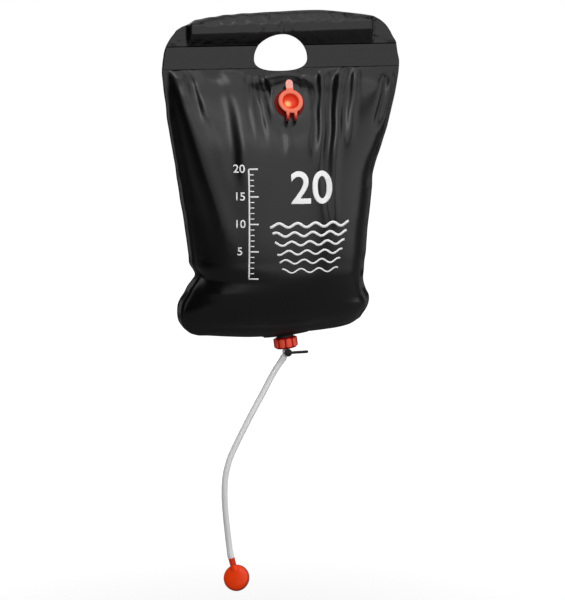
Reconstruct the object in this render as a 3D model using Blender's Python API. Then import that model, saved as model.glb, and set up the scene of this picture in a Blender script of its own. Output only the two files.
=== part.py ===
"""A camp shower bag, full of water and hanging by its hand hole. Metres, +Z up, the front faces -Y.

The origin is the top edge of the hand hole, where a hook or a branch carries the bag.
Every length is a named value. A name that ends in share or shares holds plain ratios.
"""

import math

import bmesh
import bpy
from mathutils import Matrix, Vector

# Gaps and cuts
GAP = 0.0003  # between two pieces that touch
OVERRUN = 0.004  # how far a cutter runs past what it cuts

# Sheets of the bag
SHEET = 0.0008
BAG_WIDTH = 0.397  # across the header, flat
BAG_BULGE = 0.174  # front to back, full of water
SEAM = 0.007  # welded margin round the water chamber
HEADER_RISE = 0.038  # from the top of the hand hole to the top edge
CORNER_DROP = 0.045  # from the top of the hand hole to where the header is widest
BAND_DROP = 0.019  # from the top of the hand hole to the top of the weld band
BAND_HEIGHT = 0.037
CHAMBER_HEIGHT = 0.444  # from the weld band to the bottom seam
BAG_LEAN = 0.009  # how far the lower part hangs to the left of the handle
BOTTOM_TILT = math.radians(4)  # of the bottom edge, lower on the left

# Main folds of the full sheets: each one's width from its path to its lowest and highest lines, and rise
FLANK_WIDTH = 0.0160
FLANK_RISE = 0.0065
LEFT_PLEAT_WIDTH = 0.0090
LEFT_PLEAT_RISE = 0.0034
RIGHT_PLEAT_WIDTH = 0.0080
RIGHT_PLEAT_RISE = 0.0045
BACK_LEFT_WIDTH = 0.0105
BACK_LEFT_RISE = 0.0040
BACK_MIDDLE_WIDTH = 0.0085
BACK_MIDDLE_RISE = 0.0024
BACK_RIGHT_WIDTH = 0.0092
BACK_RIGHT_RISE = 0.0030

# Hand hole
HOLE_WIDTH = 0.090
HOLE_HEIGHT = 0.0606
HOLE_WIDEST_SHARE = 0.66  # how far down the hole its widest level is
HOLE_WELD = 0.007  # flat margin round the hole
HOLE_FADE = 0.030  # from that margin to where the sheets part freely

# Handle
TUBE_DIAMETER = 0.012
TUBE_WALL = 0.0016
TUBE_INSET = 0.0475  # from each end of the tube to the side of the bag
TUBE_LIFT = 0.005  # from the top of the hand hole to the underside of the tube
SLEEVE_SLOPE = 0.007  # how far past the tube's ends the sleeve takes to lie flat

# Filler
FILLER_SIDE = 0.0078  # right of the middle
FILLER_DROP = 0.1130  # below the top of the hand hole
FILLER_TILT = math.radians(24)
FLANGE_DIAMETER = 0.050
FLANGE_THICKNESS = 0.0016
NECK_BORE = 0.0305
NECK_WALL = 0.0019
NECK_HEIGHT = 0.0090
NECK_INNER = 0.0060  # how far the neck reaches into the bag
RIM_WIDTH = 0.0015
RIM_HEIGHT = 0.0018
LID_DIAMETER = 0.041
LID_THICKNESS = 0.0022
CUP_DIAMETER = 0.0298
CUP_TAPER = 0.0007  # off the cup's radius at its foot
CUP_WALL = 0.0015
CUP_DEPTH = 0.0075
TAB_WIDTH = 0.0120
TAB_REACH = 0.0375  # from the lid's centre
TAB_THICKNESS = 0.0017
HINGE_REACH = 0.0300  # from the lid's centre down to the hinge line
LEG_WIDTH = 0.0048
LEG_SPACING = 0.0130
STRAP_THICKNESS = 0.0016
STRAP_WIDTH = 0.0032  # of the ring round the neck
STRAP_LIFT = 0.0005  # of the ring above the flange
RISER_CLEARANCE = 0.0010  # from the hinge line to the riser behind it

# Outlet
OUTLET_SIDE = 0.0070  # right of the middle
OUTLET_TILT = math.radians(7.5)
BOAT_LENGTH = 0.072
BOAT_THICKNESS = 0.0275
BOAT_HEIGHT = 0.011
SPOUT_DIAMETER = 0.028
SPOUT_BORE = 0.019
SPOUT_LENGTH = 0.0157
WASHER_DIAMETER = 0.0270
WASHER_BORE = 0.0170
WASHER_THICKNESS = 0.0016
NUT_DIAMETER = 0.040
NUT_HEIGHT = 0.0190
NUT_SIDE_GAP = 0.0004  # round the spout's neck
NUT_LIP = 0.0022
NUT_LIP_BORE = 0.0176
NUT_CHAMFER = 0.0022
GRIP_COUNT = 10
GRIP_RISE = 0.0016
GRIP_START = math.radians(6)

# Stopcock
INLET_DIAMETER = 0.0166
INLET_FLANGE = 0.0020
PASSAGE = 0.0060
HUB_DROP = 0.0297  # from the bottom seam to the key's axis, along the outlet's axis
HUB_DIAMETER = 0.0120
HUB_LENGTH = 0.0176
KEY_DIAMETER = 0.0086
KEY_GAP = 0.0002
KEY_HEAD_DIAMETER = 0.0128
KEY_HEAD = 0.0030
KEY_CLIP = 0.0014
KEY_CLIP_DIAMETER = 0.0104
LEVER_LENGTH = 0.0340
LEVER_HEIGHT = 0.0048
LEVER_THICKNESS = 0.0032
LEVER_ANGLE = math.radians(-5.5)
SPIGOT_ANGLE = math.radians(39.5)  # from the outlet's axis towards the left
SPIGOT_LENGTH = 0.0160  # from the key's axis to the tip
SPIGOT_BORE = 0.0040
BARB_RISE = 0.0003

# Hose
HOSE_DIAMETER = 0.0100
HOSE_BORE = 0.0066
HOSE_ROUTE = (
    (-0.0010, 0.000, -0.5475),
    (-0.0098, -0.001, -0.5600),
    (-0.0206, -0.003, -0.5780),
    (-0.0324, -0.006, -0.5985),
    (-0.0457, -0.009, -0.6205),
    (-0.0612, -0.012, -0.6480),
    (-0.0764, -0.014, -0.6765),
    (-0.0890, -0.015, -0.7030),
    (-0.0964, -0.015, -0.7310),
    (-0.0983, -0.014, -0.7600),
    (-0.0968, -0.012, -0.7890),
    (-0.0937, -0.010, -0.8180),
    (-0.0902, -0.008, -0.8460),
)
HOSE_END = (-0.0875, -0.008, -0.8660)  # where the hose's middle line runs into the head's neck

# Shower head
HEAD_DIAMETER = 0.044
HEAD_RIM = 0.0040
HEAD_DOME = 0.0075
HEAD_WALL = 0.0016
HEAD_CENTRE = (-0.0763, -0.008, -0.9075)
HEAD_FACING_SHARES = (-0.4776, -0.8332, 0.2782)  # where the dome looks
HEAD_NECK_DIAMETER = 0.0106
HEAD_NECK_REACH = 0.0345  # from the head's middle to the shoulder that the hose meets
HEAD_NECK_FOOT = 0.0080
HEAD_NECK_LIFT = 0.0046
HEAD_BARB = 0.0060
DOME_POWER = 0.8
PLATE_THICKNESS = 0.0016
PLATE_DISH = 0.0012
PLATE_FLAT_SHARE = 0.8  # of the plate's radius, where its dish ends
SPRAY_HOLE = 0.0014
SPRAY_PITCH = 0.0044  # from ring to ring
SPRAY_RING_COUNTS = (6, 12, 18)
SPRAY_HOLE_SIDES = 6

# Shapes of the bag as ratios of its height, width and bulge
WIDTH_SHARES = (
    (0.00, 1.000),
    (0.055, 0.990),
    (0.10, 0.977),
    (0.145, 0.957),
    (0.19, 0.935),
    (0.32, 0.872),
    (0.41, 0.836),
    (0.55, 0.800),
    (0.66, 0.772),
    (0.74, 0.746),
    (0.79, 0.738),
    (0.83, 0.768),
    (0.88, 0.810),
    (0.92, 0.808),
    (0.95, 0.768),
    (0.98, 0.630),
    (1.00, 0.460),
)
BULGE_SHARES = (
    (0.00, 0.00),
    (0.055, 0.13),
    (0.10, 0.30),
    (0.145, 0.43),
    (0.19, 0.54),
    (0.32, 0.82),
    (0.41, 0.93),
    (0.55, 1.00),
    (0.72, 1.00),
)
# Paths of the main folds, as places down and across: shares of the chamber's height and of half the
# bag's width
FLANK_SHARES = (
    (0.01, -0.957),
    (0.153, -0.892),
    (0.293, -0.821),
    (0.417, -0.751),
    (0.550, -0.665),
    (0.682, -0.610),
    (0.743, -0.610),
    (0.822, -0.645),
)
LEFT_PLEAT_SHARES = (
    (0.005, -0.569),
    (0.108, -0.539),
    (0.216, -0.509),
    (0.324, -0.469),
    (0.448, -0.423),
)
RIGHT_PLEAT_SHARES = (
    (0.005, 0.484),
    (0.101, 0.428),
    (0.189, 0.393),
    (0.297, 0.363),
    (0.405, 0.338),
    (0.500, 0.348),
    (0.613, 0.378),
)
BACK_LEFT_SHARES = (
    (0.005, -0.806),
    (0.122, -0.756),
    (0.257, -0.675),
    (0.392, -0.594),
)
BACK_MIDDLE_SHARES = (
    (0.005, -0.332),
    (0.122, -0.302),
    (0.268, -0.252),
)
BACK_RIGHT_SHARES = (
    (0.005, 0.463),
    (0.167, 0.443),
    (0.381, 0.403),
)
FOLD_START_SHARE = 0.10  # of a fold's length, over which it rises at its top
FOLD_END_SHARE = 0.30  # of a fold's length, over which it dies out at its foot
ROUND_SHARE = 0.72  # below this share of its height the bag's bottom is a quarter ellipse
LEAN_SHARE = 0.45  # of its height, over which the bag leans out
CORNER_POWER = 3  # of the rounded outline of the header
TOP_EDGE_SHARE = 0.97  # how much narrower the top edge is than the level that it starts from
HOLE_FOOT_POWER = 2.5  # of the lower half of the hand hole
BOAT_POWER = 1.5  # of the pointed plan of the outlet's base
GRIP_POWER = 0.5  # of one grip of the nut, seen from above
LEVER_END_SHARE = 0.9  # of its width, at the lever's round end
SMOOTH_ANGLE = math.radians(35)

# Folds as (path, width, rise). A sheet sinks on the left of the path and stands out on the right; where
# the rise is negative it is the other way round.
FRONT_FOLDS = (
    (FLANK_SHARES, FLANK_WIDTH, FLANK_RISE),
    (LEFT_PLEAT_SHARES, LEFT_PLEAT_WIDTH, LEFT_PLEAT_RISE),
    (RIGHT_PLEAT_SHARES, RIGHT_PLEAT_WIDTH, RIGHT_PLEAT_RISE),
)
BACK_FOLDS = (
    (BACK_LEFT_SHARES, BACK_LEFT_WIDTH, BACK_LEFT_RISE),
    (BACK_MIDDLE_SHARES, BACK_MIDDLE_WIDTH, BACK_MIDDLE_RISE),
    (BACK_RIGHT_SHARES, BACK_RIGHT_WIDTH, -BACK_RIGHT_RISE),
)

# Steps of the meshes
ACROSS_STEPS = 24
FRONT_FOLD_COLUMNS = (4, 8, 17)  # of a row's places, the one where each fold's sunk side runs
BACK_FOLD_COLUMNS = (5, 10, 17)
COLUMN_STEP = 0.0015  # least distance between two columns
EVEN_SHARE = 0.86  # of the chamber's height, from which the columns no longer follow the folds
CHAMBER_ROWS_SHARES = (0.0, 0.04, 0.08, 0.12, 0.16, 0.21, 0.27, 0.34, 0.42, 0.51, 0.61, 0.72)
ROUND_STEPS = 9
HEADER_LEVELS_SHARES = (1.0, 0.78, 0.56, 0.38, 0.24, 0.12, 0.0)
HOLE_STEPS = 36
FINE_STEPS = 28
COARSE_STEPS = 20
DOME_STEPS = 5
GRIP_STEPS = 5
HOSE_RESOLUTION = 2


def clear_scene():
    for obj in list(bpy.data.objects):
        bpy.data.objects.remove(obj, do_unlink=True)


def finish(name, colour, roughness, alpha=1.0):
    """A plain material in the piece's own colour."""
    made = bpy.data.materials.new(name)
    made.use_nodes = True
    shader = made.node_tree.nodes["Principled BSDF"]
    shader.inputs["Base Color"].default_value = (*colour, 1.0)
    shader.inputs["Roughness"].default_value = roughness
    shader.inputs["Metallic"].default_value = 0.0
    shader.inputs["Alpha"].default_value = alpha
    return made


def frame(name, location, turn=None, parent=None):
    """An empty that pieces are placed in."""
    empty = bpy.data.objects.new(name, None)
    bpy.context.scene.collection.objects.link(empty)
    empty.location = location
    if turn is not None:
        empty.rotation_mode = "QUATERNION"
        empty.rotation_quaternion = turn.to_quaternion()
    empty.parent = parent
    return empty


def piece(name, shape, material, parent=None):
    """The object for a finished bmesh, shaded smooth with its hard edges kept sharp."""
    bmesh.ops.recalc_face_normals(shape, faces=shape.faces)
    mesh = bpy.data.meshes.new(name)
    shape.to_mesh(mesh)
    shape.free()
    mesh.materials.append(material)
    mesh.shade_smooth()
    mesh.set_sharp_from_angle(angle=SMOOTH_ANGLE)
    obj = bpy.data.objects.new(name, mesh)
    bpy.context.scene.collection.objects.link(obj)
    obj.parent = parent
    return obj


def helper(name, shape, parent=None):
    """A cutter or an added shape, which is no piece by itself."""
    obj = piece(name, shape, MATERIALS["helper"], parent)
    obj.hide_render = True
    obj.display_type = "WIRE"
    return obj


def combine(obj, other, operation, solver="EXACT"):
    step = obj.modifiers.new(other.name, "BOOLEAN")
    step.operation = operation
    step.solver = solver
    step.object = other


def smooth_step(value):
    value = min(1.0, max(0.0, value))
    return value * value * (3 - 2 * value)


def read_share(table, at):
    """The table's value at a share, on a smooth curve through its points."""
    last = len(table) - 1
    k = 0
    while k < last - 1 and table[k + 1][0] < at:
        k += 1

    def slope(i):
        low, high = max(0, i - 1), min(last, i + 1)
        return (table[high][1] - table[low][1]) / (table[high][0] - table[low][0])

    (x0, y0), (x1, y1) = table[k], table[k + 1]
    span = x1 - x0
    u = min(1.0, max(0.0, (at - x0) / span))
    a, b = slope(k) * span, slope(k + 1) * span
    return (
        y0 * (1 + 2 * u) * (1 - u) ** 2
        + a * u * (1 - u) ** 2
        + y1 * u * u * (3 - 2 * u)
        + b * u * u * (u - 1)
    )


def turned(points, steps):
    """A closed (radius, height) outline spun round Z."""
    shape = bmesh.new()
    verts = [shape.verts.new((r, 0, z)) for r, z in points]
    count = len(verts)
    on_axis = points[0][0] == 0 and points[-1][0] == 0
    edges = [
        shape.edges.new((verts[i], verts[(i + 1) % count]))
        for i in range(count - 1 if on_axis else count)
    ]
    bmesh.ops.spin(
        shape,
        geom=verts + edges,
        cent=(0, 0, 0),
        axis=(0, 0, 1),
        angle=math.tau,
        steps=steps,
        use_merge=True,
    )
    bmesh.ops.remove_doubles(shape, verts=shape.verts, dist=GAP / 100)
    return shape


def rod(radius, low, high, steps, direction=(0, 0, 1), start=(0, 0, 0)):
    """A cylinder from low to high along a direction."""
    shape = turned([(0, low), (radius, low), (radius, high), (0, high)], steps)
    turn = Vector((0, 0, 1)).rotation_difference(Vector(direction)).to_matrix().to_4x4()
    bmesh.ops.transform(shape, matrix=Matrix.Translation(start) @ turn, verts=shape.verts)
    return shape


def plate(outline, low, high, matrix=None):
    """A flat outline of (x, y) points raised from low to high along Z."""
    shape = bmesh.new()
    face = shape.faces.new([shape.verts.new((x, y, low)) for x, y in outline])
    grown = bmesh.ops.extrude_face_region(shape, geom=[face])
    top = [v for v in grown["geom"] if isinstance(v, bmesh.types.BMVert)]
    bmesh.ops.translate(shape, verts=top, vec=(0, 0, high - low))
    if matrix is not None:
        bmesh.ops.transform(shape, matrix=matrix, verts=shape.verts)
    return shape


# The bag's form


def chamber_top():
    return -(BAND_DROP + BAND_HEIGHT)


def chamber_end():
    """Height of the bottom edge of the water, above its welded margin."""
    return chamber_top() - CHAMBER_HEIGHT + SEAM


def hole_outline(grow=0.0):
    """The hand hole as (x, z) points: a round top and a flatter bottom."""
    half, rise = HOLE_WIDTH / 2 + grow, HOLE_HEIGHT * HOLE_WIDEST_SHARE + grow
    fall = HOLE_HEIGHT * (1 - HOLE_WIDEST_SHARE) + grow
    middle = -HOLE_HEIGHT * HOLE_WIDEST_SHARE
    points = []
    for i in range(HOLE_STEPS):
        turn = math.tau * i / HOLE_STEPS
        side, up = math.cos(turn), math.sin(turn)
        if up < 0:
            side = math.copysign(abs(side) ** (2 / HOLE_FOOT_POWER), side)
            up = -(abs(up) ** (2 / HOLE_FOOT_POWER))
        points.append((half * side, middle + (rise if up > 0 else fall) * up))
    return points


def freedom_near_hole(x, z):
    """0 on the weld round the hand hole, 1 where the sheets part freely."""
    half, tall = HOLE_WIDTH / 2, HOLE_HEIGHT / 2
    reach = math.hypot(x / half, (z + tall) / tall) - 1
    return smooth_step((reach * tall - HOLE_WELD) / HOLE_FADE)


def chamber_row(share):
    """Outer half width and half bulge at a share of the chamber's height."""
    half = BAG_WIDTH / 2 * read_share(WIDTH_SHARES, share)
    if share > ROUND_SHARE:
        lowest = (chamber_top() - chamber_end()) / CHAMBER_HEIGHT
        down = min(1.0, (share - ROUND_SHARE) / (lowest - ROUND_SHARE))
        bulge = BAG_BULGE / 2 * math.sqrt(1 - down * down)
    else:
        bulge = BAG_BULGE / 2 * read_share(BULGE_SHARES, share)
    return half, bulge


def lean(z):
    """Place of the bag's middle line at a height."""
    share = (chamber_top() - z) / CHAMBER_HEIGHT
    return -BAG_LEAN * smooth_step(share / LEAN_SHARE)


def droop(x, z):
    """How far the tilt of the bottom edge lifts a point of the chamber."""
    share = (chamber_top() - z) / CHAMBER_HEIGHT
    weight = smooth_step((share - ROUND_SHARE) / (1 - ROUND_SHARE))
    return math.tan(BOTTOM_TILT) * (x - OUTLET_SIDE) * weight


def boat_spread(x):
    """Half the room that the outlet's base takes between the sheets."""
    half = BOAT_LENGTH / 2 + SEAM / 2
    away = (x - OUTLET_SIDE) / half
    return (BOAT_THICKNESS / 2 + GAP) * max(0.0, 1 - away * away) ** 0.5


def raw_depth(x, z):
    """How far the front sheet's outer face stands out, before it is dressed round the filler."""
    share = min(1.0, (chamber_top() - z) / CHAMBER_HEIGHT)
    if share <= 0:
        return GAP / 2 + SHEET
    half, bulge = chamber_row(share)
    aside = (x - lean(z)) / (half - SEAM)
    free = bulge * math.sqrt(max(0.0, 1 - aside * aside)) * freedom_near_hole(x, z)
    spread = boat_spread(x) * smooth_step((chamber_end() + 2 * SEAM + BOAT_HEIGHT - z) / SEAM)
    return GAP / 2 + SHEET + math.hypot(free, spread)


def filler_depth():
    """Depth of the front sheet's outer face at the filler's middle."""
    return raw_depth(FILLER_SIDE, -FILLER_DROP)


def front_depth(x, z):
    """The front sheet's depth, pressed flat under the filler's flange."""
    away = math.hypot(x - FILLER_SIDE, z + FILLER_DROP)
    edge = FLANGE_DIAMETER / 2 + SEAM
    flat = 1 - smooth_step((away - edge) / (FLANGE_DIAMETER / 2))
    plane = filler_depth() - math.tan(FILLER_TILT) * (z + FILLER_DROP)
    return raw_depth(x, z) * (1 - flat) + max(plane, GAP / 2 + SHEET) * flat


def fold_reach(path, share):
    """Share of a fold's length that a share of the chamber's height comes to."""
    return (share - path[0][0]) / (path[-1][0] - path[0][0])


def fold_height(folds, x, share):
    """How far the folds lift a point of a sheet off its round form."""
    total = 0.0
    for path, width, rise in folds:
        down = fold_reach(path, share)
        if down < 0 or down > 1:
            continue
        aside = (x - BAG_WIDTH / 2 * read_share(path, share)) / width
        fade = smooth_step(down / FOLD_START_SHARE) * smooth_step((1 - down) / FOLD_END_SHARE)
        total += rise * fade * aside * math.exp((1 - aside * aside) / 2)
    return total


def folded(depth_at, folds, x, z):
    """A point of a sheet, lifted by its folds square to its round form, at the front."""
    share = min(1.0, max(0.0, (chamber_top() - z) / CHAMBER_HEIGHT))
    half = chamber_row(share)[0]
    depth = depth_at(x, z)
    edge = half - abs(x - lean(z)) - SEAM
    lift = fold_height(folds, x, share) * smooth_step(edge / SEAM)
    if lift == 0:
        return x, depth, z
    slope_x = (depth_at(x + SHEET, z) - depth_at(x - SHEET, z)) / (2 * SHEET)
    slope_z = (depth_at(x, z + SHEET) - depth_at(x, z - SHEET)) / (2 * SHEET)
    outward = Vector((-slope_x, 1, -slope_z)).normalized() * lift
    return x + outward.x, depth + outward.y, z + outward.z


def columns(folds, marks, share, half):
    """Places across a row: the welded margins, and columns between that run along the folds."""
    inner = half - SEAM
    even = across(half, inner)
    middle = lean(chamber_top() - CHAMBER_HEIGHT * share)
    pins = [(1, -inner)]
    for (path, width, rise), column in zip(folds, marks):
        place = BAG_WIDTH / 2 * read_share(path, share) - middle
        pins += [(column, place - width), (column + 1, place + width)]
    last_column = ACROSS_STEPS + 1
    for i in range(1, len(pins)):
        (before, last), (column, place) = pins[i - 1], pins[i]
        least, most = last + COLUMN_STEP * (column - before), inner - COLUMN_STEP * (last_column - column)
        pins[i] = (column, min(max(place, least), most))
    pins.append((last_column, inner))
    drawn = [-half]
    for (low, start), (high, end) in zip(pins, pins[1:]):
        for column in range(low, high):
            part = (even[column] - even[low]) / (even[high] - even[low])
            drawn.append(start + (end - start) * part)
    drawn += [inner, half]
    # Down where the sheets close round the outlet, the columns are even again
    straight = smooth_step((share - ROUND_SHARE) / (EVEN_SHARE - ROUND_SHARE))
    return [middle + a + (b - a) * straight for a, b in zip(drawn, even)]


def across(half, inner):
    """Places across a row: the welded margin, then even steps of angle, then the margin."""
    turns = [math.pi * (i / ACROSS_STEPS - 0.5) for i in range(ACROSS_STEPS + 1)]
    return [-half] + [inner * math.sin(turn) for turn in turns] + [half]


def header_half(z):
    """Half the header's width at a height: straight sides with a rounded top."""
    up = max(0.0, (z + CORNER_DROP) / (HEADER_RISE + CORNER_DROP))
    return BAG_WIDTH / 2 * (1 - up**CORNER_POWER) ** (1 / CORNER_POWER)


def header_top(x):
    """Height of the header's top edge above a place across it."""
    side = abs(x) / (BAG_WIDTH / 2)
    return (HEADER_RISE + CORNER_DROP) * (1 - side**CORNER_POWER) ** (1 / CORNER_POWER) - CORNER_DROP


def header_rows(levels, places, depth_at):
    """Level rows of the header from the top down, under two that follow its top edge."""
    half = header_half(levels[-1])
    rows = [[(x, z) for x in places(header_half(z))] for z in levels]
    edge = [(x, header_top(x)) for x in places(half * TOP_EDGE_SHARE)]
    below = [((x + a) / 2, (z + b) / 2) for (x, z), (a, b) in zip(edge, rows[-1])]
    rows += [below, edge]
    return [[(x, depth_at(x, z), z) for x, z in row] for row in reversed(rows)]


def side_shares():
    half = BAG_WIDTH / 2
    return [x / half for x in across(half, half - SEAM)]


def chamber_levels():
    """Heights of the chamber's rows, with one above and one below the filler's flange."""
    reach = (FLANGE_DIAMETER + SEAM) / 2
    flange = [reach - FILLER_DROP, -reach - FILLER_DROP]
    even = [chamber_top() - CHAMBER_HEIGHT * share for share in CHAMBER_ROWS_SHARES]
    levels = [z for z in even if min(abs(z - edge) for edge in flange) > SEAM]
    levels = sorted(levels + flange, reverse=True)
    start, end = levels[-1], chamber_end()
    for i in range(1, ROUND_STEPS + 1):
        levels.append(start + (end - start) * math.sin(math.pi / 2 * i / ROUND_STEPS))
    return levels + [end - SEAM]


def chamber_rows(depth_at, side, folds, marks):
    """Rows of points of one sheet from the weld band to the bottom seam."""
    rows = []
    for z in chamber_levels():
        share = min(1.0, (chamber_top() - z) / CHAMBER_HEIGHT)
        places = columns(folds, marks, share, chamber_row(share)[0])
        points = [folded(depth_at, folds, x, z) for x in places]
        rows.append([(x, side * depth, level + droop(x, level)) for x, depth, level in points])
    return rows


def sheet(name, rows, material, side):
    """A sheet whose outer face passes through rows of points, thickened inwards."""
    shape = bmesh.new()
    grid = [[shape.verts.new(point) for point in row] for row in rows]
    for upper, lower in zip(grid, grid[1:]):
        for i in range(len(upper) - 1):
            corners = (upper[i], lower[i], lower[i + 1], upper[i + 1])
            shape.faces.new(corners if side < 0 else corners[::-1])
    mesh = bpy.data.meshes.new(name)
    shape.to_mesh(mesh)
    shape.free()
    mesh.materials.append(material)
    mesh.shade_smooth()
    obj = bpy.data.objects.new(name, mesh)
    bpy.context.scene.collection.objects.link(obj)
    wall = obj.modifiers.new("wall", "SOLIDIFY")
    wall.thickness = SHEET
    wall.offset = -1
    return obj


def hole_cutter(name, far):
    """A block in the shape of the hand hole that runs from front to back."""
    stand = Matrix.Rotation(math.pi / 2, 4, "X")
    return helper(name, plate(hole_outline(), -far, far, stand))


def back_panel(cutter):
    top = TUBE_LIFT + TUBE_DIAMETER + GAP
    levels = [top - (top + CORNER_DROP) * share for share in HEADER_LEVELS_SHARES]

    def places(half):
        return [half * side for side in side_shares()]

    header = header_rows(levels, places, lambda x, z: GAP / 2 + SHEET)
    rows = header + chamber_rows(raw_depth, 1, BACK_FOLDS, BACK_FOLD_COLUMNS)
    panel = sheet("back_panel", rows, MATERIALS["black_sheet"], 1)
    combine(panel, cutter, "DIFFERENCE")
    return panel


def front_panel(cutter):
    margin = []
    top = -(BAND_DROP + GAP)
    for z in (top, -CORNER_DROP):
        places = across(header_half(z), header_half(z) - SEAM)
        margin.append([(x, -(GAP / 2 + SHEET), z) for x in places])
    rows = margin + chamber_rows(front_depth, -1, FRONT_FOLDS, FRONT_FOLD_COLUMNS)
    panel = sheet("front_panel", rows, MATERIALS["black_sheet"], -1)
    combine(panel, cutter, "DIFFERENCE")
    return panel


def tube_half():
    """Half the length of the handle tube."""
    return BAG_WIDTH / 2 - TUBE_INSET


def sleeve_depth(x, z):
    """How far the sleeve's outer face stands out over the tube."""
    flat = GAP / 2 + SHEET
    proud = GAP / 2 + TUBE_DIAMETER + 2 * GAP + SHEET
    low, high = TUBE_LIFT - GAP, TUBE_LIFT + TUBE_DIAMETER + GAP
    foot = -BAND_DROP + SHEET
    if z < low:
        rise = (z - foot) / (low - foot)
    else:
        top = header_top(x)
        rise = (top - z) / max(top - high, GAP)
    past = (abs(x) - tube_half() - 2 * GAP) / SLEEVE_SLOPE
    return flat + (proud - flat) * min(1.0, max(0.0, rise)) * (1 - min(1.0, max(0.0, past)))


def sleeve_panel(cutter):
    top, foot = TUBE_LIFT + TUBE_DIAMETER + GAP, TUBE_LIFT - GAP
    levels = [-BAND_DROP, SHEET - BAND_DROP, -BAND_DROP * 2 / 3, -BAND_DROP / 3]
    levels += [foot, (foot + top) / 2, top]
    ends = tube_half() + 2 * GAP
    steps = ACROSS_STEPS // 2
    inner = [ends * (2 * i / steps - 1) for i in range(steps + 1)]

    def places(half):
        return [-half, inner[0] - SLEEVE_SLOPE] + inner + [ends + SLEEVE_SLOPE, half]

    rows = header_rows(levels, places, lambda x, z: -sleeve_depth(x, z))
    panel = sheet("sleeve_panel", rows, MATERIALS["black_sheet"], -1)
    combine(panel, cutter, "DIFFERENCE")
    return panel


def weld_bands(cutter):
    """The flat strips left and right of the hand hole."""
    inside = SHEET
    near = -(GAP / 2 + SHEET + GAP)
    stand = Matrix.Rotation(math.pi / 2, 4, "X")
    top, foot = -BAND_DROP, chamber_top() + GAP
    for name, side in (("weld_band_left", -1), ("weld_band_right", 1)):
        outer = [(side * (header_half(z) - inside), z) for z in (top, -CORNER_DROP, foot)]
        outline = [(0, top)] + outer + [(0, foot)]
        strip = plate(outline, -near, -near + SHEET, stand)
        band = piece(name, strip, MATERIALS["black_sheet"])
        combine(band, cutter, "DIFFERENCE")


def handle_tube():
    outer, inner, half = TUBE_DIAMETER / 2, TUBE_DIAMETER / 2 - TUBE_WALL, tube_half()
    outline = [(inner, -half), (outer, -half), (outer, half), (inner, half)]
    shape = turned(outline, COARSE_STEPS)
    lie = Matrix.Rotation(math.pi / 2, 4, "Y")
    bmesh.ops.transform(shape, matrix=lie, verts=shape.verts)
    tube = piece("handle_tube", shape, MATERIALS["grey_plastic"])
    tube.location = (0, -(outer + GAP / 2), TUBE_LIFT + outer)
    return tube


# Filler, in its own frame: X to the right, Y up along the sheet, Z out of the bag


def filler_frame():
    turn = Matrix.Rotation(math.pi / 2 - FILLER_TILT, 3, "X")
    return frame("filler_place", (FILLER_SIDE, -filler_depth(), -FILLER_DROP), turn)


def filler_neck(place, panel):
    """Flange on the sheet, neck through it and rim for the lid."""
    bore, outer = NECK_BORE / 2, NECK_BORE / 2 + NECK_WALL
    rim, top = outer + RIM_WIDTH, NECK_HEIGHT
    flange_top = GAP + FLANGE_THICKNESS
    outline = [
        (bore, -NECK_INNER),
        (outer, -NECK_INNER),
        (outer, GAP),
        (FLANGE_DIAMETER / 2, GAP),
        (FLANGE_DIAMETER / 2, flange_top - FLANGE_THICKNESS / 3),
        (FLANGE_DIAMETER / 2 - FLANGE_THICKNESS / 3, flange_top),
        (outer, flange_top),
        (outer, top - RIM_HEIGHT),
        (rim, top - RIM_HEIGHT * 2 / 3),
        (rim, top),
        (bore, top),
    ]
    piece("filler_neck", turned(outline, FINE_STEPS), MATERIALS["red_plastic"], place)
    room = helper(
        "neck_hole", rod(outer + GAP, -4 * SHEET, 4 * SHEET, FINE_STEPS), place
    )
    combine(panel, room, "DIFFERENCE")


def lid_strap(place):
    """Ring round the neck under its rim, with two legs that turn up at the hinge line."""
    low = GAP + FLANGE_THICKNESS + STRAP_LIFT
    high = low + STRAP_THICKNESS
    inner = NECK_BORE / 2 + NECK_WALL + GAP
    outer = inner + STRAP_WIDTH
    ring = turned([(inner, low), (outer, low), (outer, high), (inner, high)], FINE_STEPS)
    strap = piece("lid_strap", ring, MATERIALS["red_plastic"], place)
    leg_edge = (LEG_SPACING + LEG_WIDTH) / 2
    near = STRAP_WIDTH / 5 - math.sqrt(outer**2 - leg_edge**2)
    riser = -(HINGE_REACH + RISER_CLEARANCE)
    end, tip = riser - STRAP_THICKNESS, NECK_HEIGHT + GAP
    side = [(near, low), (end, low), (end, tip), (riser, tip), (riser, high), (near, high)]
    for number, middle in enumerate((-LEG_SPACING / 2, LEG_SPACING / 2)):
        combine(strap, leg("strap_leg_" + str(number), side, middle, place), "UNION")
    return strap


def leg(name, side, middle, parent):
    """A narrow leg whose side view is a (y, z) outline."""
    turn = Matrix(((0, 0, 1, middle), (1, 0, 0, 0), (0, 1, 0, 0), (0, 0, 0, 1)))
    return helper(name, plate(side, -LEG_WIDTH / 2, LEG_WIDTH / 2, turn), parent)


def lid_outline(seat):
    """Half section of the lid: ring, cup wall and cup floor, from the outside in."""
    rim, cup = LID_DIAMETER / 2, CUP_DIAMETER / 2
    top, foot = seat + LID_THICKNESS, seat - CUP_DEPTH
    edge = LID_THICKNESS / 4
    return [
        (0, foot),
        (cup - CUP_TAPER, foot),
        (cup, seat),
        (rim - edge, seat),
        (rim, seat + edge),
        (rim, top - edge),
        (rim - edge, top),
        (cup - CUP_WALL + edge, top),
        (cup - CUP_WALL, top - edge),
        (cup - CUP_WALL - CUP_TAPER, foot + CUP_WALL),
        (0, foot + CUP_WALL),
    ]


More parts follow.
